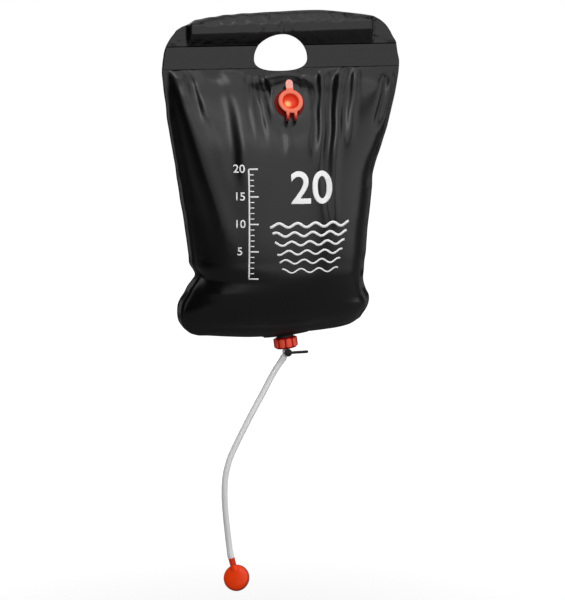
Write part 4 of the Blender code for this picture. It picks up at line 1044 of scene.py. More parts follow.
def hose(end_pieces):
    """The hose over both barbs, with its real bore and rounded ends."""
    start = outlet_place() @ Vector((0, 0, -HUB_DROP)) + spigot_direction() * SPIGOT_SHOULDER
    foot, direction = neck_line()
    far = head_place() @ (foot + direction * (NECK_REACH - NECK_FOOT))
    marks = [start, start + spigot_direction() * HOSE_START, *HOSE_ROUTE, HOSE_END, far]
    path = route(marks, HOSE_STEP)
    walked, total = [0.0], 0.0
    for before, after in zip(path, path[1:]):
        total += (after - before).length
        walked.append(total)
    outer, inner = [], []
    for length in walked:
        near = min(length, total - length)
        flare = HOSE_FLARE * (1 - float(smooth_step((near - HOSE_FLARE_END[0]) / HOSE_FLARE_END[1])))
        lip = HOSE_LIP * (1 - min(1.0, near / HOSE_LIP_LENGTH))
        outer.append(HOSE_DIAMETER / 2 + flare - lip)
        inner.append(HOSE_BORE / 2 + flare + lip)
    shape = bmesh.new()
    skin = swept(shape, path, outer, HOSE_SIDES)
    bore = swept(shape, path, inner, HOSE_SIDES)
    for end in (0, -1):
        skin_over(shape, (skin[end], bore[end]))
    obj = new_piece("hose_tube", mesh_from("hose_tube", shape), CLEAR_HOSE, "valve")
    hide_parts("hose")


# The bag's sheets


def side_at(height, side):
    """Place of the bag's left or right edge at a height."""
    return read_curve(SIDES, height, 1 if side < 0 else 2)


def both_sides(height):
    return float(side_at(height, -1)), float(side_at(height, 1))


def hole_half(height):
    """Half the width of the hand hole at a height, zero above and below it."""
    middle = -HOLE_HEIGHT * HOLE_WIDEST_SHARE
    rise, fall = -middle, HOLE_HEIGHT + middle
    up = np.clip((height - middle) / rise, 0, 1)
    down = np.clip((middle - height) / fall, 0, 1)
    dome = np.sqrt(1 - up * up)
    foot = (1 - down**HOLE_FOOT_POWER) ** (1 / HOLE_FOOT_POWER)
    return HOLE_WIDTH / 2 * np.where(height >= middle, dome, foot)


def hole_levels(top, foot):
    """Heights through the hand hole, close together at its top and bottom."""
    middle = -HOLE_HEIGHT * HOLE_WIDEST_SHARE
    side = np.cos(np.linspace(0, math.pi, HOLE_ROWS))
    levels = middle + np.where(side > 0, -middle, HOLE_HEIGHT + middle) * side
    kept = levels[(levels < top - MERGE) & (levels > foot + MERGE)]
    return np.concatenate(([top], kept, [foot]))


def spread_row(left, right, hole):
    """Places across one row, denser at the sides, split in the middle by the hand hole."""
    ease = 1 - (1 - np.linspace(0, 1, HALF_COLUMNS)) ** COLUMN_POWER
    return np.concatenate((left + (-hole - left) * ease, (right + (hole - right) * ease)[::-1]))


def header_rows(foot):
    """Rows of (x, z) from the top edge down to a height, round the hand hole."""
    low = spread_row(*both_sides(HEADER_BASE), 0.0)
    top = spread_row(TOP_EDGE[0][0], TOP_EDGE[-1][0], 0.0)
    share = (low - low[0]) / (low[-1] - low[0])
    rise = read_curve(TOP_EDGE, top)
    rows_x, rows_z = [], []
    for u in np.linspace(0, 1, TOP_ROWS)[:-1]:
        side_z = TOP_EDGE[0][1] + (HEADER_BASE - TOP_EDGE[0][1]) * u
        row = top + (low - top) * u
        left, right = side_at(side_z, -1) - row[0], side_at(side_z, 1) - row[-1]
        rows_x.append(row + left * (1 - share) + right * share)
        rows_z.append(rise + (HEADER_BASE - rise) * u)
    for level in hole_levels(HEADER_BASE, foot):
        hole = float(hole_half(np.array(level))) if level < 0 else 0.0
        rows_x.append(spread_row(*both_sides(level), hole))
        rows_z.append(np.full(2 * HALF_COLUMNS, level))
    return rows_x, rows_z


def chamber_rows():
    """Rows of (x, z) from the foot of the hand hole to the bottom edge, and their shares of the way."""
    top = -HOLE_HEIGHT
    first = spread_row(*both_sides(top), 0.0)
    share = (first - first[0]) / (first[-1] - first[0])
    rest = 1 - share
    last = BOTTOM_EDGE[0][0] + (BOTTOM_EDGE[-1][0] - BOTTOM_EDGE[0][0]) * share
    edge = read_curve(BOTTOM_EDGE, last)
    corner_z = LEFT_CORNER * rest + RIGHT_CORNER * share
    rows_x, rows_z = [], []
    shares = np.linspace(0, 1, CHAMBER_ROWS) ** ROW_POWER
    for t in shares:
        left_z = top + (LEFT_CORNER - top) * t
        right_z = top + (RIGHT_CORNER - top) * t
        row = first * (1 - t) + last * t
        sides = side_at(left_z, -1) * rest + side_at(right_z, 1) * share
        rows_x.append(sides + row - row[0] * rest - row[-1] * share)
        rows_z.append(left_z * rest + right_z * share + (edge - corner_z) * t**3)
    return rows_x, rows_z, list(shares)


def tilt(x, z):
    """How much the header's slope lifts a point."""
    header = HEADER_TILT_SHARE * smooth_step((z - BAND_TOP) / TILT_FADE)
    band = BAND_TILT_SHARE * smooth_step((z - TILT_END) / (BAND_FOOT - TILT_END))
    return x * (band + header * (1 - BAND_TILT_SHARE / HEADER_TILT_SHARE))


def freedom_near_hole(x, z):
    """Nought on the weld round the hand hole, one where the sheet is free of it."""
    half, tall = HOLE_WIDTH / 2, HOLE_HEIGHT / 2
    reach = np.hypot(x / half, (z + tall) / tall) - 1
    recess = RECESS_SHARE * np.exp(-(((x - RECESS_PLACE) / RECESS_HALF) ** 2)) * (z < -HOLE_HEIGHT / 2)
    return smooth_step((reach * tall - HOLE_WELD * (1 - recess)) / HOLE_FADE)


def chamber_depth(x, z, left, right, t):
    """How far a sheet stands off the middle plane in the water chamber."""
    middle, half = (left + right) / 2, (right - left) / 2
    aside = np.abs(x - middle) / (half - SEAM)
    round_form = BAG_BULGE * read_curve(BULGE_SHARES, t) * np.clip(1 - aside**2, 0, 1) ** 0.5
    free = round_form * freedom_near_hole(x, z)
    away = (x - OUTLET[0]) / (BOAT_LENGTH / 2 + SEAM / 2)
    spread = BOAT_DEPTH * np.clip(1 - away * away, 0, 1) ** 0.5
    spread = spread * smooth_step((OUTLET[2] + 3 * SEAM + BOAT_HEIGHT - z) / SEAM)
    return GAP / 2 + SHEET + np.hypot(free, spread)


def press_flat(depth, x, z):
    """The front sheet lies flat under the filler's flange."""
    past = np.hypot(x - FILLER[0], z - FILLER[2]) - (FLANGE_RADIUS + SEAM / 2)
    flat = 1 - smooth_step(past / FLANGE_RADIUS)
    plane = np.maximum(-FILLER[1] - math.tan(FILLER_TILT) * (z - FILLER[2]), GAP / 2 + SHEET)
    return depth * (1 - flat) + plane * flat, 1 - smooth_step(past / SEAM)


def fold_height(folds, x, z):
    """Sum of the folds' heights at points of the flat sheet."""
    total = np.zeros_like(x)
    for path, top_width, foot_width, ridge, tuck in folds:
        line = np.array([(p.x, p.z) for p in route([(a, 0.0, b) for a, b in path], FOLD_STEP)])
        step = np.gradient(line, axis=0)
        step /= np.linalg.norm(step, axis=1)[:, None]
        dx = x[..., None] - line[:, 0]
        dz = z[..., None] - line[:, 1]
        near = np.argmin(dx * dx + dz * dz, axis=-1)
        nx = np.take_along_axis(dx, near[..., None], -1)[..., 0]
        nz = np.take_along_axis(dz, near[..., None], -1)[..., 0]
        along = nx * step[near, 0] + nz * step[near, 1]
        right = nz * step[near, 0] - nx * step[near, 1]
        place = near / (len(line) - 1)
        wide = top_width + (foot_width - top_width) * place
        far = np.hypot(right, along) / wide
        start = 1.0 if path[0][1] > BAND_FOOT - SEAM else smooth_step(place / FOLD_HEAD_SHARE)
        fade = start * smooth_step((1 - place) / FOLD_FADE_SHARE)
        total += fade * (ridge * np.exp(-far * far) + tuck * (right / wide) * np.exp(0.5 - far * far / 2))
    return total


def crumple(x, z, size, seed, depth):
    """Sharp, irregular creases."""
    level, sharp, soft = CREASE_SHARES
    fine, shift = CREASE_FINE
    values = []
    for a, b in zip(x.ravel() / size, z.ravel() / size):
        first = noise.noise(Vector((a, b, seed)))
        second = noise.noise(Vector((fine * a + shift, fine * b, seed)))
        values.append(level - abs(first) * sharp + soft * second)
    return np.array(values).reshape(x.shape) * depth


def outward(px, py, pz, side):
    """Unit normals of a grid, pointing to the front or to the back."""
    points = np.stack((px, py, pz), axis=-1)
    down, across = np.gradient(points, axis=0), np.gradient(points, axis=1)
    normal = np.cross(down, across)
    length = np.linalg.norm(normal, axis=-1, keepdims=True)
    normal = normal / np.maximum(length, 1e-12)
    flip = np.sign(normal[..., 1:2]) * side
    return normal * np.where(flip == 0, 1, flip)


def recut(shape, faces):
    """Cuts skewed quads into the best pairs of triangles, always in the same order."""
    cut = list(bmesh.ops.triangulate(shape, faces=faces)["faces"])
    edges = dict.fromkeys(e for face in cut for e in face.edges)
    members = set(cut)
    inside = [e for e in edges if len(e.link_faces) == 2 and members.issuperset(e.link_faces)]
    bmesh.ops.beautify_fill(shape, faces=cut, edges=inside, method="ANGLE")


def grid_mesh(name, px, py, pz, side, keep=None):
    """A mesh from a grid of points, with its flat size as the UV map."""
    rows, columns = px.shape
    points = np.stack((px, py, pz), axis=-1)
    wide = np.linalg.norm(np.diff(points, axis=1), axis=-1)
    tall = np.linalg.norm(np.diff(points, axis=0), axis=-1)
    u = np.concatenate((np.zeros((rows, 1)), np.cumsum(wide, axis=1)), axis=1)
    u -= u[:, columns // 2][:, None]
    v = np.concatenate((np.zeros((1, columns)), -np.cumsum(tall, axis=0)), axis=0)
    shape = bmesh.new()
    chart = shape.loops.layers.uv.new("cut")
    grid = [[shape.verts.new(points[i, j]) for j in range(columns)] for i in range(rows)]
    flat = {grid[i][j]: (u[i, j], v[i, j]) for i in range(rows) for j in range(columns)}
    split = HALF_COLUMNS - 1 if columns == 2 * HALF_COLUMNS else -1
    skewed = []
    for i in range(rows - 1):
        for j in range(columns - 1):
            if j == split or (keep is not None and not keep[i, j]):
                continue
            corners = (grid[i][j], grid[i + 1][j], grid[i + 1][j + 1], grid[i][j + 1])
            face = shape.faces.new(corners if side < 0 else corners[::-1])
            for loop in face.loops:
                loop[chart].uv = flat[loop.vert]
            if abs(px[i + 1, j] - px[i, j]) > SKEW_LIMIT * abs(pz[i + 1, j] - pz[i, j]):
                skewed.append(face)
    recut(shape, skewed)
    bmesh.ops.delete(shape, geom=[v for v in shape.verts if not v.link_faces], context="VERTS")
    bmesh.ops.remove_doubles(shape, verts=shape.verts, dist=MERGE)
    mesh = mesh_of(name, shape)
    mesh.shade_smooth()
    return mesh


def sheet_piece(mesh, node):
    """A sheet with its wall, in place of its solid."""
    obj = new_piece(mesh.name, mesh, BLACK_SHEET, "bag")
    wall = obj.modifiers.new("wall", "SOLIDIFY")
    wall.thickness = SHEET
    wall.offset = -1
    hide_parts(node)


def seam_wave(x, z, left, right):
    """A shared ripple of both sheets along the welded sides."""
    edge = np.minimum(x - left, right - x)
    near = np.exp(-np.clip(edge, 0, 1) / RIPPLE_REACH)
    length, sway, fine = (z / size for size in RIPPLE_LENGTHS)
    sway_share, fine_share, fine_start = RIPPLE_SHARES
    wave = np.sin(length + sway_share * np.sin(sway)) + fine_share * np.sin(fine + fine_start)
    strength = RIPPLE_FOOT_DEPTH * smooth_step((RIPPLE_FOOT[0] - z) / RIPPLE_FOOT[1]) + RIPPLE_DEPTH
    return near * wave * strength * smooth_step((RIPPLE_TOP[0] - z) / RIPPLE_TOP[1])


def sheet_rows(first_level):
    """Full grid of one sheet from a first height down to the bottom edge, with its rows' shares."""
    head_x, head_z = header_rows(-HOLE_HEIGHT)
    body_x, body_z, shares = chamber_rows()
    rows_x, rows_z = head_x[:-1] + body_x, head_z[:-1] + body_z
    t = [-1.0] * (len(head_x) - 1) + shares
    kept = [i for i in range(len(rows_x)) if first_level is None or rows_z[i][0] <= first_level + 1e-9]
    return tuple(np.array([column[i] for i in kept]) for column in (rows_x, rows_z, t))


def bag_sheet(side, first_level, folds):
    """Points of the front or the back sheet, flat and in place."""
    x, z, t = sheet_rows(first_level)
    t = t[:, None]
    left, right = x[:, :1], x[:, -1:]
    start = (BAND_FOOT + HOLE_HEIGHT) / (BAND_FOOT - BAG_FOOT)
    share = np.where(t >= 0, start + (1 - start) * t, (BAND_FOOT - z) / (BAND_FOOT - BAG_FOOT))
    depth = chamber_depth(x, z, left, right, np.clip(share, 0, 1))
    pressed = np.zeros_like(x)
    if side < 0:
        depth, pressed = press_flat(depth, x, z)
    y = side * depth
    rise = z + tilt(x, z)
    beside = smooth_step((np.abs(x) - HOLE_WIDTH) / (HOLE_WIDTH / 4))
    first = -HOLE_HEIGHT + (BAND_FOOT + HOLE_HEIGHT) * beside
    above = np.clip((first - z) / FOLD_START, 0, 1) ** FOLD_START_POWER
    edge = np.minimum(x - left, right - x)
    free = smooth_step((edge - SEAM) / SEAM) * above * (1 - pressed) * smooth_step((z[-1] - z) / -FOLD_FOOT)
    height = fold_height(folds, x, z) * free
    place = np.stack((x, y, rise), axis=-1) + outward(x, y, rise, side) * height[..., None]
    px, py, pz = place.transpose(2, 0, 1)
    return x, z, px, py + seam_wave(x, z, left, right), pz


def front_sheet():
    x, z, *place = bag_sheet(-1, BAND_TOP, FRONT_FOLDS)
    middle_x = (x[:-1, :-1] + x[1:, 1:]) / 2
    middle_z = (z[:-1, :-1] + z[1:, 1:]) / 2
    keep = np.hypot(middle_x - FILLER[0], (middle_z - FILLER[2]) / math.cos(FILLER_TILT)) > NECK_ROOM
    mesh = grid_mesh("front_sheet", *place, -1, keep)
    sheet_piece(mesh, "front_panel")
    return mesh


def back_sheet():
    place = bag_sheet(1, None, BACK_FOLDS)[2:]
    sheet_piece(grid_mesh("back_sheet", *place, 1), "back_panel")


def sleeve():
    """The header's front layer over the handle tube, with its creases and crumpled top."""
    x, z = (np.array(rows) for rows in header_rows(BAND_TOP))
    flat, proud = GAP / 2 + SHEET, GAP / 2 + TUBE_DIAMETER + 2 * GAP + SHEET
    low, high = TUBE_LIFT - GAP, TUBE_LIFT + TUBE_DIAMETER + GAP
    top = z[0][None, :]
    below = np.clip((z - BAND_TOP) / (low - BAND_TOP), 0, 1)
    above = np.clip((top - z) / np.maximum(top - high, GAP), 0, 1)
    rise = smooth_step(below) * 0.5 + below * 0.5
    share = np.where(z < low, rise, np.minimum(1.0, above**SLEEVE_TOP_POWER))
    past = np.clip((np.abs(x) - TUBE_HALF - 2 * GAP) / SLEEVE_SLOPE, 0, 1)
    depth = flat + (proud - flat) * share * (1 - smooth_step(past))
    middle = np.exp(-((x / SLEEVE_MIDDLE) ** 2))
    rough = sum(crumple(x, z, *crease) for crease in SLEEVE_CREASES)
    strip_foot = smooth_step((z - low + STRIP_FOOT[0]) / STRIP_FOOT[1])
    strip_head = smooth_step((high - z + STRIP_HEAD[0]) / STRIP_HEAD[1])
    calm = STRIP_SMOOTH_SHARE * strip_foot * strip_head * (1 - middle)
    free = smooth_step((z - BAND_TOP) / SLEEVE_FADE[0]) * smooth_step((top - z) / SLEEVE_FADE[1])
    depth = np.maximum(depth + rough * free * (1 - calm) + SLEEVE_SWELL * middle * free, flat)
    mesh = grid_mesh("sleeve", x, -depth, z + tilt(x, z), -1)
    sheet_piece(mesh, "sleeve_panel")


def weld_bands():
    """Flat strips left and right of the hand hole."""
    levels = hole_levels(BAND_TOP, BAND_FOOT)
    places = np.linspace(0, 1, HALF_COLUMNS)
    for node, side in (("weld_band_left", -1), ("weld_band_right", 1)):
        rows = []
        for level in levels:
            outer = float(side_at(level, side)) - side * SHEET
            inner = side * float(hole_half(np.array(level)))
            left, right = sorted((outer, inner))
            rows.append(left + (right - left) * places)
        x, z = np.array(rows), np.repeat(levels[:, None], HALF_COLUMNS, axis=1)
        swell = crumple(x, z, *BAND_CREASE) + BAND_RIPPLE[1] * np.sin(x / BAND_RIPPLE[0])
        depth = GAP / 2 + 2 * SHEET + GAP + np.maximum(swell, 0)
        mesh = grid_mesh(node + "_strip", x, -depth, z + tilt(x, z), -1)
        sheet_piece(mesh, node)


def handle_tube():
    """The stiff tube in the sleeve, which climbs a little to the right as the header does."""
    outer, inner, half = TUBE_DIAMETER / 2, TUBE_DIAMETER / 2 - TUBE_WALL, TUBE_HALF
    outline = rounded([(inner, -half), (outer, -half), (outer, half), (inner, half)], TUBE_ROUND)
    lie = Matrix.Rotation(math.pi / 2 - math.atan(HEADER_TILT_SHARE), 4, "Y")
    place = Matrix.Translation((0, -(outer + GAP / 2), TUBE_LIFT + outer))
    shape = moved(turned(outline, TUBE_STEPS), place @ lie)
    obj = new_piece("tube", mesh_from("tube", shape), GREY_PLASTIC, "bag")
    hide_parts("handle_tube")


# Filler, in its own frame: X to the right, Y up along the sheet, Z out of the bag


def filler_place():
    return Matrix.Translation(FILLER) @ Matrix.Rotation(math.pi / 2 - FILLER_TILT, 4, "X")


def filler_neck():
    """Flange with a raised edge, the neck through the sheet and the rim that the lid snaps on."""
    outer, top = NECK_BORE + NECK_WALL, NECK_HEIGHT
    rim, face = outer + RIM_WIDTH, GAP + FLANGE_THICKNESS
    outline = [(NECK_BORE, -NECK_INNER), (outer, -NECK_INNER), (outer, GAP)]
    outline += [(FLANGE_RADIUS, GAP), (FLANGE_RADIUS, face)]
    outline += corner_points(FLANGE_RADIUS, face, FLANGE_EDGE)
    outline += corner_points(outer, face, FLANGE_ROOT)
    outline += [(outer, top - RIM_HEIGHT), (rim, top - RIM_HEIGHT * RIM_TAPER_SHARE)]
    outline += [(rim, top), (NECK_BORE, top)]
    shape = turned(rounded(outline, EDGE_ROUND))
    fitting("neck", [shape], filler_place(), RED_PLASTIC, "bag", "red_plastic", "filler_neck")


def leg_sides():
    return (-LEG_SPACING / 2, LEG_SPACING / 2)


def lid_strap():
    """Ring under the neck's rim, with two soft legs that turn up at the hinge."""
    low = GAP + FLANGE_THICKNESS + STRAP_LIFT
    middle, high = low + STRAP_THICKNESS / 2, low + STRAP_THICKNESS
    inner = NECK_BORE + NECK_WALL + GAP
    outer = inner + STRAP_WIDTH
    ring = [(inner, low), (outer, low), (outer, high), (inner, high)]
    shapes = [turned(rounded(ring, EDGE_ROUND))]
    back = -(HINGE_REACH + RISER_CLEARANCE + STRAP_THICKNESS / 2)
    rise = NECK_HEIGHT + GAP - middle - STRAP_BEND
    for x in leg_sides():
        path = [(x, -inner - STRAP_START - STRAP_STEP * i, middle) for i in range(13)]
        path = [spot for spot in path if spot[1] > back + STRAP_BEND]
        for turn in steps_to(math.pi / 2, 6):
            y = back + STRAP_BEND - STRAP_BEND * math.sin(turn)
            path.append((x, y, middle + STRAP_BEND - STRAP_BEND * math.cos(turn)))
        path += [(x, back, middle + STRAP_BEND + up) for up in steps_to(rise, 6)[1:]]
        count = len(path)
        shapes.append(strip(path, (1, 0, 0), [LEG_WIDTH] * count, [STRAP_THICKNESS] * count))
    fitting("strap", shapes, filler_place(), RED_PLASTIC, "bag", "red_plastic", "lid_strap")


def lid_outline(seat):
    """Half section of the lid: soft crowned ring with a bead, and a round bowl."""
    top, foot = seat + LID_THICKNESS, seat - CUP_DEPTH
    inner, depth = CUP_RADIUS - CUP_WALL, top - foot - CUP_WALL
    outline = [(0, foot)] + corner_points(CUP_RADIUS, foot, CUP_FOOT) + [(CUP_RADIUS, seat)]
    outline += corner_points(LID_RADIUS, seat, LID_UNDERSIDE) + corner_points(LID_RADIUS, top, LID_TOP)
    outline += corner_points(inner, top, BOWL_LIP)
    wide, deep = BOWL_POWERS
    for turn in steps_to(math.pi / 2, BOWL_STEPS):
        drop = (depth - BOWL_START) * math.sin(turn) ** deep
        outline.append((inner * math.cos(turn) ** wide, top - BOWL_START - drop))
    outline[-1] = (0, outline[-1][1])
    return outline


def pull_tab(middle):
    """The lid's tab, which rises and thins to its round end."""
    half, start = TAB_WIDTH / 2, (LID_RADIUS + CUP_RADIUS) / 2
    path, widths, heights = [], [], []
    for turn in steps_to(math.pi / 2, TAB_STEPS):
        y = start + (TAB_REACH - start) * math.sin(turn)
        past = max(0.0, y - (TAB_REACH - half))
        path.append((0, y, middle + TAB_RISE * (y - start) / (TAB_REACH - start)))
        widths.append(max(2 * math.sqrt(max(half**2 - past**2, 0)), TAB_RISE))
        heights.append(TAB_THICKNESS * (1 - TAB_THIN_SHARE * past / half))
    return strip(path, (1, 0, 0), widths, heights, TAB_CORNER)


def filler_lid():
    """The lid with its bowl, pull tab with pips, and the two legs rolled at the hinge."""
    seat = NECK_HEIGHT + GAP
    middle = seat + GAP + TAB_THICKNESS / 2
    shapes = [turned(lid_outline(seat)), pull_tab(middle)]
    section = [(0, -PIP_HALF), (PIP_RADIUS, -PIP_HALF), (PIP_RADIUS, PIP_HALF), (0, PIP_HALF)]
    rise = middle + TAB_THICKNESS / 2 + PIP_LIFT
    for y, count, lift in PIP_ROWS:
        pip = turned(rounded(section, PIP_ROUND), SMALL_STEPS)
        row = repeated(pip, LID_PLASTIC, count, step=(PIP_PITCH, 0.0, 0.0))
        shapes.append(moved(row, Matrix.Translation((-PIP_PITCH / 2 * (count - 1), y, rise + lift))))
    reach = HINGE_REACH - GAP - (LID_RADIUS + CUP_RADIUS) / 2
    for x in leg_sides():
        path = [(x, GAP - HINGE_REACH + way, middle) for way in steps_to(reach, 8)]
        widths = [LEG_WIDTH + LEG_FLARE * max(0.0, (i - 6) / 2) for i in range(9)]
        shapes.append(strip(path, (1, 0, 0), widths, [TAB_THICKNESS] * 9))
        ends = [(x + side * LEG_WIDTH / 2, -HINGE_REACH, middle) for side in (-1, 1)]
        shapes.append(bar(*ends, (0, 0, 1), ROLL_WIDTH, ROLL_WIDTH, ROLL_END, corner=1.0, steps=4))
    fitting("lid", shapes, filler_place(), LID_PLASTIC, "filler_lid", "bright_red_plastic", "filler_lid")


# Outlet, in its own frame: Z up along the spout's axis, zero at the bottom seam


def spout_thread():
    """The spout's thread, as a rounded ridge that runs out at both ends."""
    path, radii = [], []
    radius = SPOUT_RADIUS - THREAD_SINK
    for share in steps_to(1, THREAD_STEPS):
        turn = math.tau * THREAD_TURNS * share
        rise = THREAD_START + THREAD_PITCH * THREAD_TURNS * share
        path.append(Vector((radius * math.cos(turn), radius * math.sin(turn), rise)))
        full = float(smooth_step(min(share, 1 - share) / THREAD_FADE_SHARE))
        radii.append(THREAD_RADII[1] * full + THREAD_RADII[0])
    shape = bmesh.new()
    capped(shape, swept(shape, path, radii, THREAD_SIDES))
    fitting("spout_thread", [shape], outlet_place(), BLACK_PLASTIC, "bag", "dark_plastic")


def coupling_nut():
    """Nut with deep grooves between broad convex grips."""
    lip = -(SPOUT_LENGTH + GAP) - WASHER_THICKNESS - INLET_FLANGE - 2 * GAP
    low, bore = lip - NUT_LIP, SPOUT_RADIUS + NUT_SIDE_GAP
    high = low + NUT_HEIGHT
    groove = NUT_RADIUS - GRIP_RISE
    edge = groove - NUT_CHAMFER
    outline = [(NUT_LIP_BORE, low), (edge, low), (groove, low + NUT_CHAMFER), (groove, high - NUT_CHAMFER)]
    outline += [(edge, high), (bore, high), (bore, lip), (NUT_LIP_BORE, lip)]
    core = turned(rounded(outline, NUT_ROUND), NUT_STEPS)
    pitch = math.tau / GRIP_COUNT
    start = (groove - GRIP_SINK, 0, low + NUT_CHAMFER * GRIP_FOOT_SHARE)
    end = (groove - GRIP_SINK, 0, high - NUT_CHAMFER * GRIP_HEAD_SHARE)
    width, height = GRIP_WIDTH_SHARE * groove * pitch, 2 * (GRIP_RISE + GRIP_SINK)
    grip = bar(start, end, (0, 1, 0), width, height, GRIP_END, corner=GRIP_CORNER)
    grips = repeated(grip, NUT_PLASTIC, GRIP_COUNT, turn=pitch, start=GRIP_START + pitch / 2)
    fitting("nut", [core, grips], outlet_place(), NUT_PLASTIC, "coupling_nut", "red_plastic", "coupling_nut")


def valve_key():
    """Plug with a round head, a straight lever with a fat end, and the snap end behind."""
    half, chamfer = HUB_LENGTH / 2 + GAP, KEY_HEAD_CHAMFER
    front = -half - KEY_HEAD
    outline = [(0, front), (KEY_HEAD_RADIUS - chamfer, front), (KEY_HEAD_RADIUS, front + chamfer)]
    outline += [(KEY_HEAD_RADIUS, -half), (KEY_RADIUS, -half), (KEY_RADIUS, half)]
    outline += [(KEY_CLIP_RADIUS, half), (KEY_RADIUS, half + KEY_CLIP), (0, half + KEY_CLIP)]
    plug = moved(turned(rounded(outline, EDGE_ROUND), KEY_STEPS), Matrix.Rotation(-math.pi / 2, 4, "X"))
    along = Vector((math.cos(LEVER_ANGLE), 0, math.sin(LEVER_ANGLE)))
    across = Vector((-math.sin(LEVER_ANGLE), 0, math.cos(LEVER_ANGLE)))
    root = Vector((0, -(half + KEY_HEAD / 3 + LEVER_THICKNESS / 2), 0))
    points, widths, heights = [], [], []
    for share in steps_to(1, LEVER_STEPS):
        reach = LEVER_LENGTH * math.sin(math.pi / 2 * share) - LEVER_SINK * (1 - share)
        end = max(0.0, reach - LEVER_LENGTH + LEVER_END) / LEVER_END
        full = LEVER_ROOT_SHARE + (1 - LEVER_ROOT_SHARE) * share
        points.append(root + along * reach)
        widths.append(LEVER_HEIGHT * full * max(LEVER_TIP_SHARE, math.sqrt(max(0.0, 1 - end * end))))
        heights.append(LEVER_THICKNESS * (1 - LEVER_THIN_SHARE * end * end))
    arm = strip(points, across, widths, heights, LEVER_CORNER)
    place = outlet_place() @ Matrix.Translation((0, 0, -HUB_DROP))
    fitting("key", [plug, arm], place, BLACK_PLASTIC, "valve_key", "black_plastic", "valve_key")


# Shower head, in its own frame


def head_body():
    """Thin domed cup with a bead round its mouth, and the neck that flares out of it to the barb."""
    inner = HEAD_RADIUS - HEAD_WALL
    outline = [(inner, 0.0)] + corner_points(HEAD_RADIUS, 0.0, HEAD_BEAD)
    arcs = []
    for outer, rise in ((HEAD_RADIUS, HEAD_DOME), (inner, HEAD_DOME - HEAD_WALL)):
        turns = steps_to(math.pi / 2, DOME_STEPS)[:-1]
        arc = [(outer * math.cos(turn) ** DOME_SHARE, HEAD_RIM + rise * math.sin(turn)) for turn in turns]
        arcs.append(arc + [(0, HEAD_RIM + rise)])
    cup = turned(outline + arcs[0] + arcs[1][::-1], ROUND_STEPS)
    foot, direction = neck_line()
    end, bore = NECK_REACH - NECK_FOOT, HOSE_BORE / 2
    profile = [*NECK_FLARE, (NECK_FLARE_END, NECK_RADIUS)] + corner_points(end, NECK_RADIUS, NECK_COLLAR)
    profile += [(end, bore)] + corner_points(end + NECK_BARB, bore, BARB_TIP)
    outline = [(0, profile[0][0])] + [(radius, reach) for reach, radius in profile] + [(0, profile[-1][0])]
    turn = Vector((0, 0, 1)).rotation_difference(direction).to_matrix().to_4x4()
    neck = moved(turned(outline, NECK_STEPS), Matrix.Translation(foot) @ turn)
    return fitting("head", [cup, neck], head_place(), ORANGE_PLASTIC, "valve", "orange_plastic", "head_body")


def spray_collars():
    """A small raised collar round each hole of the spray plate."""
    shapes = []
    for ring, count in enumerate(SPRAY_COUNTS, 1):
        radius = ring * SPRAY_PITCH
        face = GAP - PLATE_DISH * (1 - radius / PLATE_FLAT)
        collar = turned(corner_points(SPRAY_HOLE, 0.0, SPRAY_COLLAR), SMALL_STEPS)
        collar = moved(collar, Matrix.Translation((radius, 0, face)))
        shapes.append(repeated(collar, ORANGE_PLASTIC, count, turn=math.tau / count))
    return fitting("spray_collars", shapes, head_place(), ORANGE_PLASTIC, "valve", "orange_plastic")


# Print: a plain litre scale, waves and a number


def ribbon(points, width):
    """A flat ribbon along points of the print's plane, as quads."""
    shape = bmesh.new()
    points = [Vector(p) for p in points]
    pairs = []
    for i, spot in enumerate(points):
        along = way_along(points, i)
        side = Vector((-along.y, along.x)) * width / 2
        pairs.append([shape.verts.new((*(spot + side), 0)), shape.verts.new((*(spot - side), 0))])
    for (a, b), (c, d) in zip(pairs, pairs[1:]):
        shape.faces.new((a, b, d, c))
    return shape


def straight(start, end, width):
    steps = max(1, round(math.dist(start, end) / PRINT_STEP))
    return ribbon([Vector(start).lerp(Vector(end), share) for share in steps_to(1, steps)], width)


def numeral(text, height, middle):
    """A number, cut by a fine grid so that it can follow the sheet."""
    curve = bpy.data.curves.new("numeral", "FONT")
    curve.body = text
    curve.size = height / FIGURE_SHARE
    curve.align_x = "CENTER"
    curve.align_y = "CENTER"
    curve.offset = height * FIGURE_WEIGHT
    obj = linked("numeral", curve)
    made = obj.evaluated_get(bpy.context.evaluated_depsgraph_get())
    mesh = bpy.data.meshes.new_from_object(made)
    bpy.data.objects.remove(obj)
    shape = moved(shape_of(mesh), Matrix.Translation((*middle, 0)))
    for axis, normal in enumerate((Vector((1, 0, 0)), Vector((0, 1, 0)))):
        low = min(v.co[axis] for v in shape.verts)
        high = max(v.co[axis] for v in shape.verts)
        for i in range(1, int((high - low) / PRINT_STEP) + 1):
            whole = shape.verts[:] + shape.edges[:] + shape.faces[:]
            cut = normal * (low + i * PRINT_STEP)
            bmesh.ops.bisect_plane(shape, geom=whole, plane_co=cut, plane_no=normal)
    return shape


def litre_scale():
    """The scale's line, its short and long marks, and the figures beside the long ones."""
    shapes = [straight((SCALE_PLACE, -SCALE_HALF), (SCALE_PLACE, SCALE_HALF), MARK_WIDTHS[1])]
    for litre in range(SCALE_LITRES + 1):
        rise = -SCALE_HALF + 2 * SCALE_HALF * litre / SCALE_LITRES
        long = litre % SCALE_LONG == 0
        end = (SCALE_PLACE + MARK_REACHES[long], rise)
        shapes.append(straight((SCALE_PLACE, rise), end, MARK_WIDTHS[long]))
        if long and litre:
            shapes.append(numeral(str(litre), FIGURE_HEIGHT, (SCALE_PLACE - FIGURE_OFFSET, rise)))
    return shapes


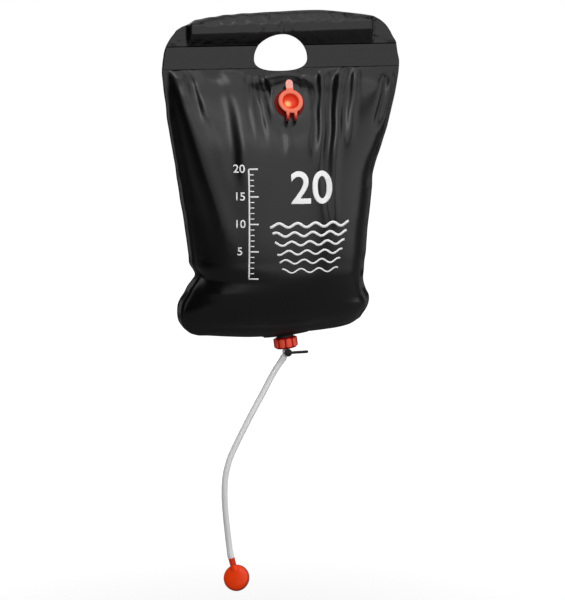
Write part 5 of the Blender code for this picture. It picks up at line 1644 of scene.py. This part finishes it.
def waves():
    """Rows of waves, each shorter and thinner than the one above it."""
    shapes = []
    for row in range(WAVE_ROWS):
        start, end = WAVE_SPAN[0] + WAVE_INSET * row, WAVE_SPAN[1] - WAVE_INSET * row
        line = []
        for way in steps_to(end - start, round((end - start) / WAVE_STEP)):
            swing = math.sin(math.tau * (start + way) / WAVE_LENGTH + row)
            line.append((start + way, WAVE_TOP - WAVE_PITCH * row + WAVE_HEIGHT * swing))
        shapes.append(ribbon(line, WAVE_WIDTH - WAVE_THINNING * row))
    return shapes


def litre_print(sheet_mesh):
    """White ink on the front sheet: a litre scale with numbers, waves under a large number."""
    whole = joined(litre_scale() + [numeral(str(SCALE_LITRES), LARGE_FIGURE, LARGE_PLACE)] + waves())
    bmesh.ops.recalc_face_normals(whole, faces=whole.faces)
    corners = [v.co.copy() for v in sheet_mesh.vertices]
    tree = BVHTree.FromPolygons(corners, [tuple(p.vertices) for p in sheet_mesh.polygons])
    for vert in whole.verts:
        start = Vector((PRINT_MIDDLE[0] + vert.co.x, -1.0, PRINT_MIDDLE[1] + vert.co.y))
        spot, normal = tree.ray_cast(start, Vector((0, 1, 0)))[:2]
        if normal.y > 0:
            normal = -normal
        vert.co = spot + normal * PRINT_LIFT
    for face in whole.faces:
        face.normal_update()
        if face.normal.y > 0:
            face.normal_flip()
    mesh = mesh_of("print", whole)
    mesh.shade_smooth()
    obj = new_piece("print", mesh, WHITE_INK, "bag")
    ink = obj.modifiers.new("ink", "SOLIDIFY")
    ink.thickness = PRINT_LIFT * PRINT_WALL_SHARE
    ink.offset = -1


REPEAT = repeat_tree()
GRAIN = grain_effect()
ZONES = zone_effect()
BLACK_SHEET = black_sheet()
GREY_PLASTIC = plastic("grey_tube", (0.24, 0.24, 0.25), (0.27, 0.27, 0.28), 0.5)
# Dark red of the flange and strap: partly the moulding's own red, partly painted shade from the lid over
# them
RED_PLASTIC = plastic("red_moulding", (0.20, 0.006, 0.004), (0.25, 0.009, 0.005), 0.32, shine=0.15)
NUT_PLASTIC = nut_material()
LID_PLASTIC = lid_material()
ORANGE_PLASTIC = head_material()
BLACK_PLASTIC = plastic("black_moulding", (0.004, 0.004, 0.004), (0.007, 0.007, 0.007), 0.38, shine=0.35)
RUBBER = plastic("seal_rubber", (0.04, 0.04, 0.04), (0.055, 0.055, 0.055), 0.6)
CLEAR_PLASTIC = plastic(
    "clear_moulding", (0.90, 0.91, 0.92), (0.94, 0.95, 0.95), 0.28, bump=0.03, spread=0.04, transmission=0.25
)
WHITE_INK = plastic(
    "white_ink", (0.99, 0.99, 0.99), (0.93, 0.93, 0.93), 0.5, bump=0.05, fine=900.0, broad=120.0
)
CLEAR_HOSE = plastic(
    "clear_tube",
    (0.95, 0.96, 0.97),
    (0.98, 0.98, 0.99),
    0.30,
    bump=0.02,
    broad=25.0,
    spread=0.04,
    transmission=0.15,
)

camera()
surroundings()
for lamp in LAMPS:
    softbox(*lamp)
floor()
litre_print(front_sheet())
back_sheet()
sleeve()
weld_bands()
handle_tube()
filler_neck()
lid_strap()
filler_lid()
spout_thread()
coupling_nut()
valve_key()
hose([head_body(), spray_collars(), "spray_plate"])

# Solids whose shape is right as it is get their finish
finish_cad("valve_body", CLEAR_PLASTIC)
finish_cad("outlet_spout", BLACK_PLASTIC)
finish_cad("outlet_washer", RUBBER)
finish_cad("spray_plate", ORANGE_PLASTIC)
